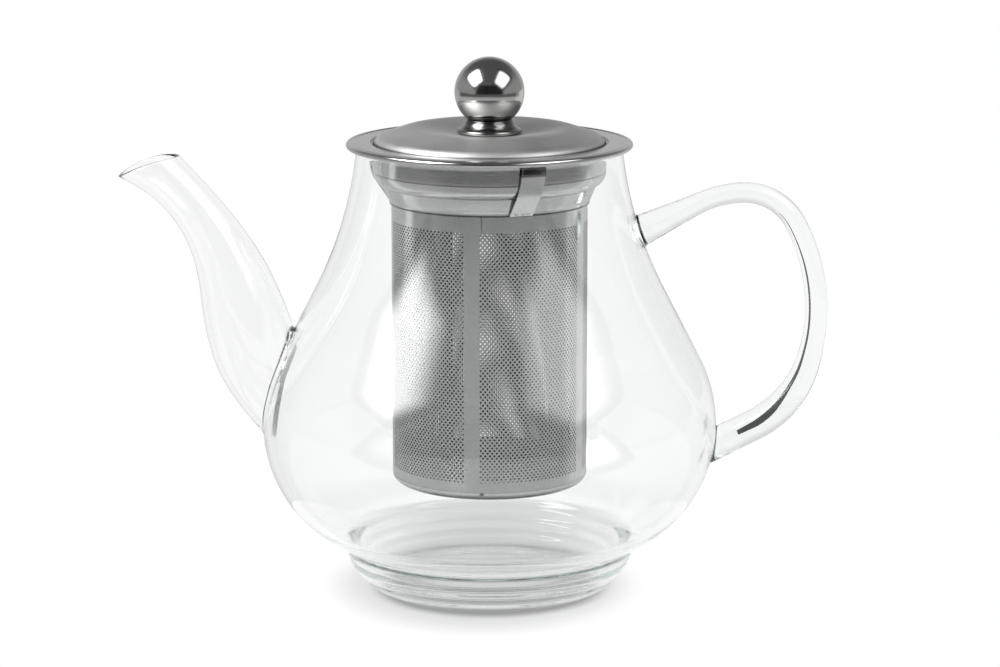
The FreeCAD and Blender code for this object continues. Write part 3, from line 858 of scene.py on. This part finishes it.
def make_collar():
    """Flange with a rolled edge, wall, rounded shoulder, cone and skirt."""
    hem = FLANGE_TOP - 2 * FLANGE_ROLL
    edge = FLANGE - FLANGE_ROLL
    inside = COLLAR - COLLAR_SHEET
    skirt = TUBE + COLLAR_SHEET
    return turned("infuser_collar", [
        (TUBE + 0.02, COLLAR_FOOT + 0.15),
        (TUBE + 0.15, COLLAR_FOOT),
        (skirt - 0.15, COLLAR_FOOT),
        (skirt, COLLAR_FOOT + 0.15),
        (skirt, COLLAR_FOOT + 0.6),
        (skirt + 0.25, COLLAR_FOOT + 1.3, 0.9, "right"),
        CONE_TOP,
        (COLLAR, SHOULDER_TOP, 4.3, "left"),
        (COLLAR, FLANGE_UNDER - 0.9),
        (COLLAR + 0.9, FLANGE_UNDER, 0.9, "right"),
        (FLANGE - 1.9, FLANGE_UNDER),
        (FLANGE - 1.6, FLANGE_UNDER - 0.3),
        (FLANGE - 1.6, hem + 0.3),
        (FLANGE - 1.3, hem),
        (edge, hem),
        (FLANGE, hem + FLANGE_ROLL, FLANGE_ROLL, "left"),
        (edge, FLANGE_TOP, FLANGE_ROLL, "left"),
        (edge - 0.6, FLANGE_TOP - 0.22, 0.9, "left"),
        (edge - 0.9, FLANGE_TOP - 0.12, 0.5, "right"),
        (edge - 2.2, FLANGE_TOP),
        (COLLAR + 0.9, FLANGE_TOP),
        (inside, FLANGE_UNDER - 0.9, 1.5, "left"),
        (inside, SHOULDER_TOP),
        (CONE_TOP[0] - COLLAR_SHEET / 2, CONE_TOP[1] + COLLAR_SHEET, 3.7, "right"),
        (TUBE + 0.02, COLLAR_FOOT + 1.2),
    ], segments=200)


HOLE_RADIUS = 0.31
HOLE_SIDES = 8
ROW_PITCH = 0.765
ROWS = 94
FIRST_ROW = 37.8
COLUMN_PITCH = 1.29
# Middles of the tube's plain strips, in degrees from the front towards the handle
STRIPS = [-10.2, 66.2, 137.1, 208.0, 278.9]
STRIP_HALF = 3.9
# Steps of the plain sheet: across half a strip, below the rows and above them
STRIP_STEPS = 3
FOOT_STEPS = 2
TOP_STEPS = 4


def panel(name, start, end):
    """Panel of perforated sheet between the middles of two plain strips."""
    holed_from, holed_to = start + STRIP_HALF, end - STRIP_HALF
    columns = round(math.radians(holed_to - holed_from) * TUBE / COLUMN_PITCH)
    edges = np.concatenate([
        np.linspace(start, holed_from, STRIP_STEPS + 1)[:-1],
        np.linspace(holed_from, holed_to, 2 * columns + 1),
        np.linspace(holed_to, end, STRIP_STEPS + 1)[1:],
    ])
    holed_foot = FIRST_ROW - ROW_PITCH / 2
    holed_top = holed_foot + ROWS * ROW_PITCH
    levels = np.concatenate([
        np.linspace(TUBE_FOOT, holed_foot, FOOT_STEPS + 1)[:-1],
        holed_foot + ROW_PITCH * np.arange(ROWS + 1),
        np.linspace(holed_top, TUBE_TOP, TOP_STEPS + 1)[1:],
    ])
    wide, tall = len(edges), len(levels)
    spots = [(edge, level) for level in levels for edge in edges]
    grid = np.arange(wide * tall).reshape(tall, wide)
    sheet, holes = [], []
    half_pitch = math.radians(edges[STRIP_STEPS + 1] - edges[STRIP_STEPS]) * TUBE
    turns = round_turns(HOLE_SIDES)
    taken = np.zeros((tall - 1, wide - 1), bool)
    for row in range(ROWS):
        level = FOOT_STEPS + row
        for column in range(STRIP_STEPS + row % 2, STRIP_STEPS + 2 * columns - 1, 2):
            taken[level, column:column + 2] = True
            middle = edges[column + 1], levels[level] + ROW_PITCH / 2
            reach = HOLE_RADIUS / half_pitch * (edges[column + 1] - edges[column])
            hole = list(range(len(spots), len(spots) + HOLE_SIDES))
            spots.extend(
                (middle[0] + reach * math.cos(turn), middle[1] + HOLE_RADIUS * math.sin(turn))
                for turn in turns
            )
            foot_left, foot, foot_right = grid[level, column:column + 3].tolist()
            top_left, top, top_right = grid[level + 1, column:column + 3].tolist()
            east, north_east, north, north_west, west, south_west, south, south_east = hole
            sheet += [
                [top, top_left, north_west, north], [top_right, top, north, north_east],
                [foot, foot_right, south_east, south], [foot_left, foot, south, south_west],
                [foot_right, top_right, east], [top_right, north_east, east], [foot_right, east, south_east],
                [top_left, foot_left, west], [top_left, west, north_west], [foot_left, south_west, west],
            ]
            holes.append(hole)
    cells = np.stack([grid[:-1, :-1], grid[:-1, 1:], grid[1:, 1:], grid[1:, :-1]], -1)
    sheet += cells[~taken].tolist()
    spots = np.array(spots)
    angle = np.radians(spots[:, 0] - 90)
    layers = [
        np.stack([radius * np.cos(angle), radius * np.sin(angle), spots[:, 1]], 1)
        for radius in (TUBE, TUBE - TUBE_SHEET)
    ]
    count = len(spots)
    faces = sheet + [[corner + count for corner in face[::-1]] for face in sheet]
    outside = len(sheet)
    for hole in holes:
        loop = hole + hole[:1]
        faces += strip(loop, [corner + count for corner in loop])
    for rim in (grid[0], grid[-1][::-1], grid[::-1, 0], grid[:, -1]):
        faces += strip((rim + count).tolist(), rim.tolist())
    mesh = make_mesh(name, np.concatenate(layers), faces)
    mesh.polygons.foreach_set("material_index", [0] * outside + [1] * (len(faces) - outside))
    return mesh


def make_base():
    """Pressed cap with a rounded edge and a lip inside the tube."""
    inside = TUBE - TUBE_SHEET
    return turned("infuser_base", [
        (0, 32.2),
        (TUBE - 2.5, 32.2),
        (TUBE, TUBE_FOOT - 0.06, 2.5, "left"),
        (inside, TUBE_FOOT - 0.06),
        (inside - 0.02, TUBE_FOOT + 3.5),
        (inside - TUBE_SHEET, TUBE_FOOT + 3.6),
        (inside - TUBE_SHEET, TUBE_FOOT),
        (TUBE - 2.5 - TUBE_SHEET, 32.6, 2.1, "right"),
        (0, 32.6),
    ], closed=False)


CLIP_FACE = [(28.8, 114.1), (33.35, 120.7), (34.1, 123.3), (34.6, 126.7), (34.25, 128.7)]
CLIP_SHEET = 0.45
CLIP_WIDTH = 6.8
# How far a clip's foot stands aside of its tip
CLIP_SKEW = 1.8
CLIP_ACROSS = np.array([-1, -0.96, -0.5, 0, 0.5, 0.96, 1]) * CLIP_WIDTH / 2
# Spot welds of a clip: places across it, their distance from the axis and height, their radius, and their
# thickness and length as shares of it
SPOTS_ACROSS = (-1.7, 0.3, 1.9)
SPOT_PLACE = (29.62, 114.65)
SPOT_RADIUS = 0.62
SPOT_THICK = 0.28
SPOT_LONG = 0.8


def make_clip(name, angle):
    """Bent leaf spring with three spot welds at its foot."""
    path = np.array(CLIP_FACE)
    for corner in CLIP_FACE[1:-1]:
        dense = respace(path, 0.25)
        path = soften(dense, corner, 1.2, 10)
    path = respace(path, 0.4)
    work = bmesh.new()
    rows = []
    for shift in (0.0, CLIP_SHEET):
        rows.append([[work.verts.new((r + shift, y, z)) for y in CLIP_ACROSS] for r, z in path])
    inner, outer = rows
    pairs = [pair for side in rows for pair in zip(side, side[1:])]
    pairs += [([row[j] for row in inner], [row[j] for row in outer]) for j in (0, -1)]
    pairs += [(inner[k], outer[k]) for k in (0, -1)]
    for low, high in pairs:
        for face in strip(low, high):
            work.faces.new(face)
    bmesh.ops.recalc_face_normals(work, faces=work.faces)
    weld_lean = math.atan2(CLIP_FACE[1][0] - CLIP_FACE[0][0], CLIP_FACE[1][1] - CLIP_FACE[0][1])
    for across in SPOTS_ACROSS:
        spot = bmesh.ops.create_uvsphere(work, u_segments=14, v_segments=8, radius=SPOT_RADIUS)["verts"]
        for vert in spot:
            flat = Vector((vert.co.x * SPOT_THICK, vert.co.y, vert.co.z * SPOT_LONG))
            vert.co = Vector((
                SPOT_PLACE[0] + flat.x * math.cos(weld_lean) + flat.z * math.sin(weld_lean),
                across + flat.y,
                SPOT_PLACE[1] - flat.x * math.sin(weld_lean) + flat.z * math.cos(weld_lean),
            ))
    turn = math.radians(angle)
    foot, tip = CLIP_FACE[0][1], CLIP_FACE[-1][1]
    for vert in work.verts:
        x, y, z = vert.co
        y -= CLIP_SKEW * (tip - z) / (tip - foot)
        vert.co = Vector((
            x * math.cos(turn) - y * math.sin(turn), x * math.sin(turn) + y * math.cos(turn), z,
        )) * MM
    mesh = bpy.data.meshes.new(name)
    work.to_mesh(mesh)
    work.free()
    return mesh


# The seam's lap: half its width, gap to the sheet, and its ends inside the tube's
LAP_HALF = 2.0
LAP_GAP = 0.01
LAP_FOOT = TUBE_FOOT + 4.0
LAP_TOP = TUBE_TOP - 0.1
LAP_POINTS = 7


def make_lap():
    """Lap of the tube's seam, inside the sheet behind the front strip."""
    seam = math.radians(STRIPS[0] - 90)
    half = LAP_HALF / TUBE
    turns = np.linspace(seam - half, seam + half, LAP_POINTS)
    verts = []
    for radius in (TUBE - TUBE_SHEET - LAP_GAP, TUBE - 2 * TUBE_SHEET):
        for height in (LAP_FOOT, LAP_TOP):
            verts += [(radius * math.cos(turn), radius * math.sin(turn), height) for turn in turns]
    outer_foot, outer_top, inner_foot, inner_top = np.arange(len(verts)).reshape(4, LAP_POINTS).tolist()
    faces = strip(outer_foot, outer_top) + strip(inner_top, inner_foot)
    faces += strip(inner_foot, outer_foot) + strip(outer_top, inner_top)
    faces += [[outer_foot[k], outer_top[k], inner_top[k], inner_foot[k]] for k in (0, -1)]
    return face_out(make_mesh("tube_lap", verts, faces))


make_piece("infuser_collar", make_collar(), "infuser", ["infuser_collar"], "satin_steel", PRESSED)
for number, (start, end) in enumerate(zip(STRIPS, STRIPS[1:] + [STRIPS[0] + 360])):
    name = f"tube_panel_{number + 1}"
    make_piece(name, panel(name, start, end), "infuser", ["infuser_tube"], "satin_steel", SHEET, INSIDE)
make_piece("tube_lap", make_lap(), "infuser", ["infuser_tube"], "satin_steel", SHEET)
make_piece("infuser_base", make_base(), "infuser", ["infuser_base"], "satin_steel", CAP)
for name, angle in (("clip_front", -69.0), ("clip_rear", 51.0), ("clip_left", 171.0)):
    make_piece(name, make_clip(name, angle), name, [name], "satin_steel", SPRING)


# Steel: lid

LID = 32.3
LID_FOOT = 121.7
SEAT = 133.6
BALL = 10.0
BALL_Z = 145.4


def make_lid():
    """Dish for the knob, crest, slope, lip on the collar's mouth and deep skirt."""
    inside = LID - COLLAR_SHEET
    return turned("lid_dome", [
        (2.1, SEAT - COLLAR_SHEET),
        (9.5, SEAT - COLLAR_SHEET),
        (20.05, 134.65),
        (25.2, 134.25, 10.4, "right"),
        (30.7, 132.35),
        (inside, 130.75, 2.6, "right"),
        (inside, LID_FOOT + 0.15),
        (inside + 0.15, LID_FOOT),
        (LID - 0.15, LID_FOOT),
        (LID, LID_FOOT + 0.15),
        (LID, 129.9),
        (33.0, 130.6),
        (33.1, 130.75, 0.3, "left"),
        (31.0, 132.95, 3.2, "left"),
        (25.2, 134.85),
        (20.05, 135.25, 11.0, "left"),
        (9.5, SEAT),
        (2.1, SEAT),
    ], segments=200)


def make_knob_base():
    return turned("knob_base", [
        (2.1, SEAT),
        (8.6, SEAT),
        (9.3, SEAT + 0.7, 0.7, "left"),
        (8.6, SEAT + 1.4, 0.7, "left"),
        (6.55, 137.5, 4.2, "right"),
        (6.4, 137.65),
        (6.2, 137.6),
        (5.6, 137.0),
        (2.1, 135.0),
    ], segments=120, step=0.15)


def make_ball():
    hole = 2.05
    return turned("knob_ball", [
        (0, 145.2),
        (hole, 143.15),
        (hole, BALL_Z - math.sqrt(BALL**2 - hole**2)),
        (BALL, BALL_Z, BALL, "left"),
        (0, BALL_Z + BALL, BALL, "left"),
    ], segments=128, step=0.4, closed=False)


def make_screw():
    """Pan head under the lid, with its shank up into the ball."""
    seat = SEAT - COLLAR_SHEET
    return turned("knob_screw", [
        (0, seat - 1.3),
        (0.5, seat - 1.3),
        (1.3, seat - 2.4),
        (2.2, seat - 2.4),
        (3.8, seat - 0.8, 1.6, "left"),
        (3.8, seat),
        (2.0, seat),
        (2.0, 142.2),
        (1.6, 142.6),
        (0, 142.6),
    ], segments=64, step=0.2, closed=False)


make_piece("lid_dome", make_lid(), "lid", ["lid_dome"], "satin_steel", SATIN)
make_piece("knob_base", make_knob_base(), "lid", ["knob_base"], "polished_steel", RING)
make_piece("knob_ball", make_ball(), "lid", ["knob_ball"], "polished_steel", MIRROR)
make_piece("knob_screw", make_screw(), "lid", ["knob_screw"], "polished_steel", MIRROR)


# Studio

STAGE_SEGMENTS = 48


def stage_object(name, verts, faces, material):
    mesh = bpy.data.meshes.new(name)
    mesh.from_pydata(verts, [], faces)
    mesh.materials.append(material)
    thing = bpy.data.objects.new(name, mesh)
    bpy.context.scene.collection.objects.link(thing)
    return thing


def stage_rings(name, sizes, material):
    """Stage piece turned about Z, through rings of given radius and height."""
    verts, faces = turned_grid(sizes, STAGE_SEGMENTS, False)
    stage_object(name, np.array(verts).tolist(), faces, material)


def stage_card(name, wide, tall, height, material):
    """Flat stage piece, twice as wide and tall as given."""
    corners = [(-wide, -tall, height), (wide, -tall, height), (wide, tall, height), (-wide, tall, height)]
    return stage_object(name, corners, [[0, 1, 2, 3]], material)


def seen_rays(tree):
    """1 for what the camera, a mirror or glass sees, and 0 for what only lights the object."""
    seen = light_path(tree, "Is Camera Ray").most(light_path(tree, "Is Glossy Ray"))
    return seen.most(light_path(tree, "Is Transmission Ray"))


def finish_card(material, tree, shader):
    """Ends a stage material that is no lamp."""
    add(tree, "ShaderNodeOutputMaterial", {"Surface": shader})
    material.cycles.emission_sampling = "NONE"
    return material


# Floor, in metres, with a painted shadow near the pot. Each pair is where a painted shade starts and where it
# ends, from the pot's axis or from the middle of the painted shadow, which is moved and squeezed
FLOOR_HALF = 4.0
FLOOR_HEIGHT = -0.0002
SHADOW_MOVE = (0.005, 0, 0)
SHADOW_SQUEEZE = (1.0, 0.80, 1.0)
WHITE_FROM = 0.037
WHITE_TO = 0.052
# How much further out the white starts and ends where glass shows it
GLASS_FROM = 0.007
GLASS_TO = 0.012
# Painted shadow: a halo round the foot, and a darker ring under it
HALO = (0.024, 0.054)
HALO_LEVEL = 0.74
UNDER_POT = (0.014, 0.026)
UNDER_SHADES = (0.24, 0.54)
UNDER_END = (0.029, 0.036)
# Painted shade behind the pot, which only glass shows
BACK_PLACE = (0, 0.058, 0)
BACK_REACH = (0.0, 0.080)
BACK_SHADE = 0.32
PAPER = (0.40, 0.40, 0.40, 1)
PAPER_GLOW = 0.70


def floor_material():
    """White floor with real and painted shadow near the pot, and that mirrors and glass see as the camera
    does.
    """
    material, tree = new_material("floor")
    through = light_path(tree, "Is Transmission Ray")
    seen = seen_rays(tree)
    place = place_in(tree)
    reach = place.length()
    aside = place.vector_maths("ADD", SHADOW_MOVE).vector_maths("MULTIPLY", SHADOW_SQUEEZE).length()
    limits = WHITE_FROM + through * GLASS_FROM, WHITE_TO + through * GLASS_TO
    far = seen * aside.ramp(limits, 0.0, 1.0)
    # Painted shadow under and round the foot, and painted shade behind the pot that only glass shows
    under = reach.ramp(UNDER_POT, *UNDER_SHADES) * reach.ramp(UNDER_END, 1.0, 0.0)
    back = place.vector_maths("DISTANCE", BACK_PLACE, output="Value")
    painted_back_level = 1.0 - through * back.ramp(BACK_REACH, BACK_SHADE, 0.0)
    open_share = aside.ramp(HALO, HALO_LEVEL, 1.0) * (1.0 - under) * painted_back_level
    paper = wire(tree, "ShaderNodeBsdfDiffuse", {"Color": colour_mix(open_share, (0, 0, 0, 1), PAPER)})
    near = wire(tree, "ShaderNodeAddShader", {0: paper, 1: glow(tree, seen * PAPER_GLOW * open_share)})
    return finish_card(material, tree, shader_mix(far, near, glow(tree, painted_back_level)))


# Limits half way between whole depths. A glass wall adds two to the transmission depth
MIRRORED = 0.5
MIRRORED_AGAIN = 1.5
ONE_WALL = 0.5
TWO_WALLS = 2.5
MORE_WALLS = 4.5
WHITE_RAMP = 0.4


def reflected_only(name, strength, one_wall_from, two_walls_from):
    """Card that shows only in reflections: strength gives its light at a place.

    Light that crossed one or two glass walls is white if it was turned back more than once, or if it left
    further to the back than the depth given for one wall and for two. Light that crossed more is white.
    """
    material, tree = new_material(name)
    mirrored = light_path(tree, "Glossy Depth")
    passed = light_path(tree, "Transmission Depth")
    place = place_in(tree)
    depth = place.vector_maths("NORMALIZE").parts()[1]
    white = passed.above(MORE_WALLS)
    limits = ((ONE_WALL, TWO_WALLS, one_wall_from), (TWO_WALLS, MORE_WALLS, two_walls_from))
    for fewest, most, start in limits:
        back = depth.ramp((start, start + WHITE_RAMP), 0.0, 1.0)
        walls = passed.above(fewest) * passed.below(most)
        white = white.most(walls * back.most(mirrored.above(MIRRORED_AGAIN)))
    level = strength(place)
    level = level + white * (1.0 - level)
    clear = wire(tree, "ShaderNodeBsdfTransparent")
    return finish_card(material, tree, shader_mix(mirrored.above(MIRRORED), clear, glow(tree, level)))


# Room, in metres and degrees. Each pair is where a shade starts and where it ends, as part of a direction
ROOM_REACH = 3.0
ROOM_RINGS = 24
ROOM_FOOT = -6
ROOM_TOP = 90
ROOM_GREY = 0.30
ROOM_BACK = (0.55, 0.95)
ROOM_BACK_LIGHT = 0.25
ROOM_HIGH = (0.25, 0.7)
ROOM_HIGH_SHADE = 0.66
ROOM_SIDES = (0.5, 0.9)
ROOM_SIDES_LIGHT = 0.06
ROOM_FRONT = (-0.62, -0.76)
ROOM_FRONT_TOP = (0.58, 0.46)
ROOM_FRONT_SHADE = 0.94
ROOM_WHITE_FROM = (-0.85, -0.25)


def room_light(place):
    """Painted reflection of a grey room round the set: dark behind the camera and overhead, lighter at the
    back.
    """
    x, y, z = place.vector_maths("NORMALIZE").parts()
    level = ROOM_GREY + y.ramp(ROOM_BACK, 0.0, ROOM_BACK_LIGHT)
    level = level * (1.0 - z.ramp(ROOM_HIGH, 0.0, ROOM_HIGH_SHADE))
    level = level + abs(x).ramp(ROOM_SIDES, 0.0, ROOM_SIDES_LIGHT)
    front = y.ramp(ROOM_FRONT, 0.0, 1.0) * z.ramp(ROOM_FRONT_TOP, 0.0, ROOM_FRONT_SHADE)
    return level * (1.0 - front)


# Table, in metres. The limits of its sides are parts of the distance from the pot
TABLE_INSIDE = 0.09
TABLE_OUTSIDE = 2.9
TABLE_HEIGHT = 0.0006
TABLE_GREY = 0.54
TABLE_FAR = (0.69, 0.72)
TABLE_FAR_SHADE = 0.42
TABLE_BACK = (0.3, 0.5)
# A painted bright patch on the table towards the back on the right: its way, its limits and its light
PAINTED_PATCH_WAY = (0.84, 0.54)
PAINTED_PATCH_SIDE = (0.84, 0.97)
PAINTED_PATCH_LIGHT = 0.25
TABLE_WHITE_FROM = (-2.0, 2.0)


def table_light(place):
    """Painted reflection of the table top as steel sees it: light near the pot and at the back, and else dark
    further out.
    """
    x, y, _ = place.parts()
    reach = place.length()
    dark = reach.ramp(TABLE_FAR, 0.0, TABLE_FAR_SHADE) * (y / reach).ramp(TABLE_BACK, 1.0, 0.0)
    painted_patch_side = x * PAINTED_PATCH_WAY[0] + y * PAINTED_PATCH_WAY[1]
    bright = (painted_patch_side / reach).ramp(PAINTED_PATCH_SIDE, 0.0, PAINTED_PATCH_LIGHT)
    return TABLE_GREY + bright - dark


def make_studio():
    stage_card("floor", FLOOR_HALF, FLOOR_HALF, FLOOR_HEIGHT, floor_material())
    lifts = np.radians(np.linspace(ROOM_FOOT, ROOM_TOP, ROOM_RINGS + 1))
    dome = [(ROOM_REACH * math.cos(lift), ROOM_REACH * math.sin(lift)) for lift in lifts]
    stage_rings("room", dome, reflected_only("room", room_light, *ROOM_WHITE_FROM))
    ring = [(TABLE_INSIDE, TABLE_HEIGHT), (TABLE_OUTSIDE, TABLE_HEIGHT)]
    stage_rings("table", ring, reflected_only("table", table_light, *TABLE_WHITE_FROM))


# The flag's level, its place beside the handle, and its edges outside the handle's middle line, in
# millimetres, at shares of the handle's length
FLAG_LEVEL = 0.09
FLAG_SHIFT = np.array([3.5, 40.0, -7.5])
FLAG_SHARES = [0.36, 0.50, 0.70, 0.79, 0.85, 0.88, 0.93]
FLAG_NEAR = [19.0, 14.0, 13.0, 8.0, -1.0, -3.0, -2.0]
FLAG_FAR = [21.5, 21.0, 22.0, 18.0, 10.0, 7.0, 5.0]
FLAG_POINTS = 40


def through_glass_only():
    """Dark card that shows only in what glass bends."""
    material, tree = new_material("flag")
    direct = light_path(tree, "Glossy Depth").below(MIRRORED)
    seen = direct * light_path(tree, "Is Transmission Ray")
    clear = wire(tree, "ShaderNodeBsdfTransparent")
    return finish_card(material, tree, shader_mix(seen, clear, glow(tree, FLAG_LEVEL)))


def make_flag():
    """Black flag behind the handle, which draws the dark line that the rod shows."""
    shares = np.linspace(FLAG_SHARES[0], FLAG_SHARES[-1], FLAG_POINTS)
    x, z, heading = HANDLE.at(shares * HANDLE.length)
    out = np.stack([-np.sin(heading), np.zeros_like(heading), np.cos(heading)], 1)
    middle = np.stack([x, np.zeros_like(x), z], 1) + FLAG_SHIFT
    edges = [middle + out * np.interp(shares, FLAG_SHARES, reach)[:, None] for reach in (FLAG_NEAR, FLAG_FAR)]
    near, far = np.arange(2 * FLAG_POINTS).reshape(2, FLAG_POINTS).tolist()
    stage_object("flag", (np.concatenate(edges) * MM).tolist(), strip(near, far), through_glass_only())


# Softboxes, in metres: their distance, and the point that they face
LAMP_DISTANCE = 1.25
LAMP_AIM = Vector((0, 0, 0.09))
# Shares of a softbox's side, from its middle: where its light starts to fade, and where only its rim glows
SOFT_FROM = 0.22
SOFT_TO = 0.42
RIM_GLOW = 0.16


def softbox(name, direction, roll, size, radiance):
    """Lamp that faces the pot, brightest in the middle and soft at its edges."""
    material, tree = new_material(name)
    x, y, _ = place_in(tree).parts()
    core = radiance * (1 - RIM_GLOW)
    rim = radiance * RIM_GLOW
    for along, full in ((x, size[0]), (y, size[1])):
        aside = abs(along)
        core = aside.ramp((full * SOFT_FROM, full * SOFT_TO), 1.0, 0.0) * core
        rim = aside.ramp((full * SOFT_FROM, full / 2), 1.0, 0.0) * rim
    level = light_path(tree, "Transmission Depth").below(MORE_WALLS) * (core + rim)
    add(tree, "ShaderNodeOutputMaterial", {"Surface": glow(tree, level)})
    lamp = stage_card(name, size[0] / 2, size[1] / 2, 0, material)
    way = Vector(direction).normalized()
    lamp.location = LAMP_AIM + way * LAMP_DISTANCE
    turned_to = way.to_track_quat("Z", "Y") @ Quaternion((0, 0, 1), math.radians(roll))
    lamp.rotation_euler = turned_to.to_euler()
    lamp.visible_camera = False


# Sky: its light on the object, and how much darker glass shows it above the horizon
SKY_LIGHT = 0.32
SKY_RISE = (0.05, 0.45)
SKY_SHADE = 0.22


def make_world():
    world = bpy.data.worlds.new("studio")
    bpy.context.scene.world = world
    world.use_nodes = True
    tree = world.node_tree
    tree.nodes.clear()
    lift = wire(tree, "ShaderNodeTexCoord", output="Generated").parts()[2]
    upper = light_path(tree, "Is Transmission Ray") * lift.ramp(SKY_RISE, 0.0, SKY_SHADE)
    strength = seen_rays(tree).ramp((0.0, 1.0), SKY_LIGHT, 1.0) - upper
    light = wire(tree, "ShaderNodeBackground", {"Color": (1, 1, 1, 1), "Strength": strength})
    add(tree, "ShaderNodeOutputWorld", {"Surface": light})


def make_camera():
    """Camera at the photograph's viewing angle, in metres and degrees."""
    tilt_down = 11.5
    data = bpy.data.cameras.new("camera")
    data.sensor_width = 36.0
    data.sensor_fit = "HORIZONTAL"
    data.lens = 127.3
    data.clip_end = 50.0
    camera = bpy.data.objects.new("camera", data)
    bpy.context.scene.collection.objects.link(camera)
    camera.location = (0.003, -1.0, 0.2786)
    camera.rotation_euler = (math.radians(90 - tilt_down), 0, 0)
    bpy.context.scene.camera = camera


make_studio()
make_flag()
# Lamps: name, direction from the pot, roll in degrees, size in metres and radiance
softbox("key", (-0.660, -0.268, 0.702), -24, (1.46, 1.02), 9.5)
softbox("fill", (0.620, -0.400, 0.675), 30, (1.60, 1.06), 3.0)
make_world()
make_camera()

scene = bpy.context.scene
scene.view_settings.view_transform = "Standard"
scene.cycles.max_bounces = 48
scene.cycles.transmission_bounces = 32
scene.cycles.glossy_bounces = 32
scene.cycles.transparent_max_bounces = 16
scene.cycles.caustics_reflective = False
scene.cycles.caustics_refractive = False
